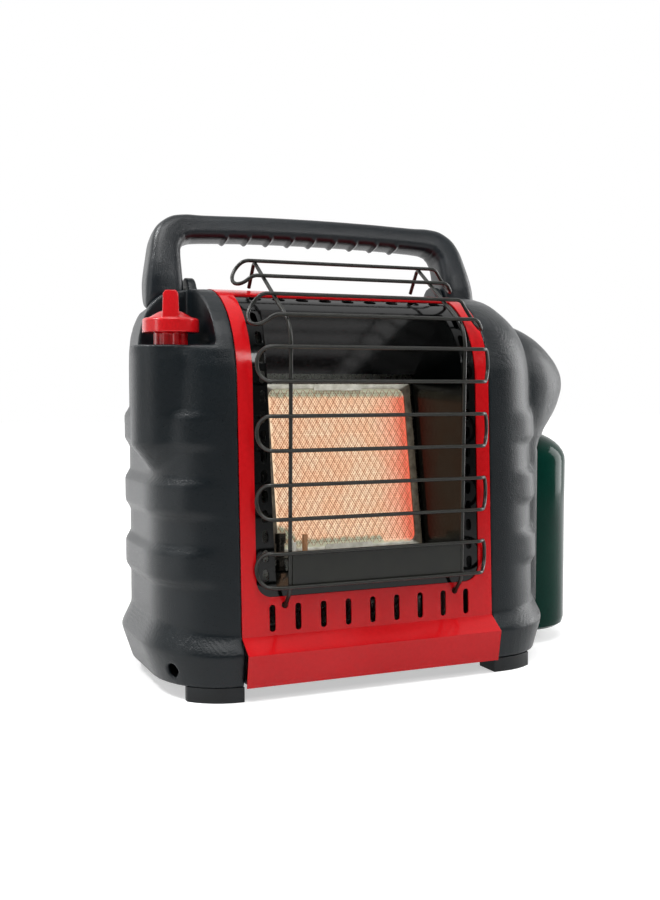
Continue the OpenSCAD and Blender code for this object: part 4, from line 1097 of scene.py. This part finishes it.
floor_mesh = bpy.data.meshes.new("studio_floor")
floor_mesh.from_pydata([(-REACH, -REACH, 0), (REACH, -REACH, 0), (REACH, REACH, 0),
                        (-REACH, REACH, 0)], [], [(0, 1, 2, 3)])
floor = bpy.data.objects.new("studio_floor", floor_mesh)
scene.collection.objects.link(floor)
ground = Finish("studio_floor")
away = ground.node("ShaderNodeVectorMath", {"operation": "LENGTH"}, {0: ground.place},
                   "Value")
behind = ground.part(ground.place, "Y").ramp(*ROOM_EDGE)
mirrored = ground.ray("Glossy").run("MAXIMUM", ground.ray("Transmission"))
white = (0.5 + 0.5 * away.ramp(*WHITE_FROM)) * (
    ground.ray("Camera") + mirrored * (ROOM_SHOWN + (1 - ROOM_SHOWN) * behind))
ground.set("Base Color", FLOOR_TONE).set("Roughness", 0.9).set("Specular IOR Level", 0.0)
ground.set("Emission Color", ground.mix(white, (0.0, 0.0, 0.0), (1.0, 1.0, 1.0)))
ground.set("Emission Strength", 1.0)
floor_mesh.materials.append(ground.material)
print("the floor is", 2 * REACH, "m wide")

# %% [markdown]
# Six lamps light the heater. The key is large and hangs high in front, and a small crown
# lamp high on the left rounds the handle. A front lamp and a broad one at the right fill
# the shadows. A tall strip at the left and a wide lamp behind draw bright edges on the
# dark plastic.

# %% Lamps


def lamp(name, place, aim, size, power):
    """A rectangular lamp at a place in metres, turned towards a point."""
    data = bpy.data.lights.new(name, "AREA")
    data.shape = "RECTANGLE"
    data.size, data.size_y = size
    data.energy = power
    made = bpy.data.objects.new(name, data)
    scene.collection.objects.link(made)
    x, y, z = np.array(aim, dtype=float) - np.array(place, dtype=float)
    made.location = place
    made.rotation_mode = "XYZ"
    made.rotation_euler = (math.atan2(np.hypot(x, y), -z), 0, math.atan2(-x, y))


lamp("key_lamp", (-0.35, -0.95, 2.05), (0, 0, 0.18), (1.3, 0.9), 29)
lamp("crown_lamp", (-1.1, 0.25, 1.7), (0, 0, 0.2), (0.4, 0.35), 20)
lamp("front_lamp", (0.8, -1.8, 1.35), (0, 0, 0.25), (0.5, 0.4), 9)
lamp("back_lamp", (-1.1, 1.5, 0.55), (-0.1, 0, 0.16), (1.0, 1.2), 5)
lamp("left_lamp", (-1.7, -0.45, 0.5), (0, 0, 0.18), (0.3, 1.2), 4)
lamp("right_lamp", (1.75, -0.05, 0.6), (0, 0, 0.2), (0.8, 1.2), 20)
print("six lamps")

# %% [markdown]
# ## The camera
# The view is from the front left at about the height of the grip's underside, with a
# lens of 44 mm on a 36 mm sensor along the long side of an upright picture.

# %% Camera
VIEW_FROM = (-371.8, -856.6, 235.9)
TURN, NOD = 0.410, 0.059
camera_data = bpy.data.cameras.new("view")
camera_data.lens = 44
camera_data.sensor_width = 36
camera_data.sensor_fit = "AUTO"
camera_data.clip_start, camera_data.clip_end = 0.05, 50
camera = bpy.data.objects.new("view", camera_data)
scene.collection.objects.link(camera)
camera.location = placed([VIEW_FROM])[0]
camera.rotation_euler = (math.pi / 2 - NOD, 0, -TURN)
scene.camera = camera
print("camera at", [round(v, 3) for v in camera.location])
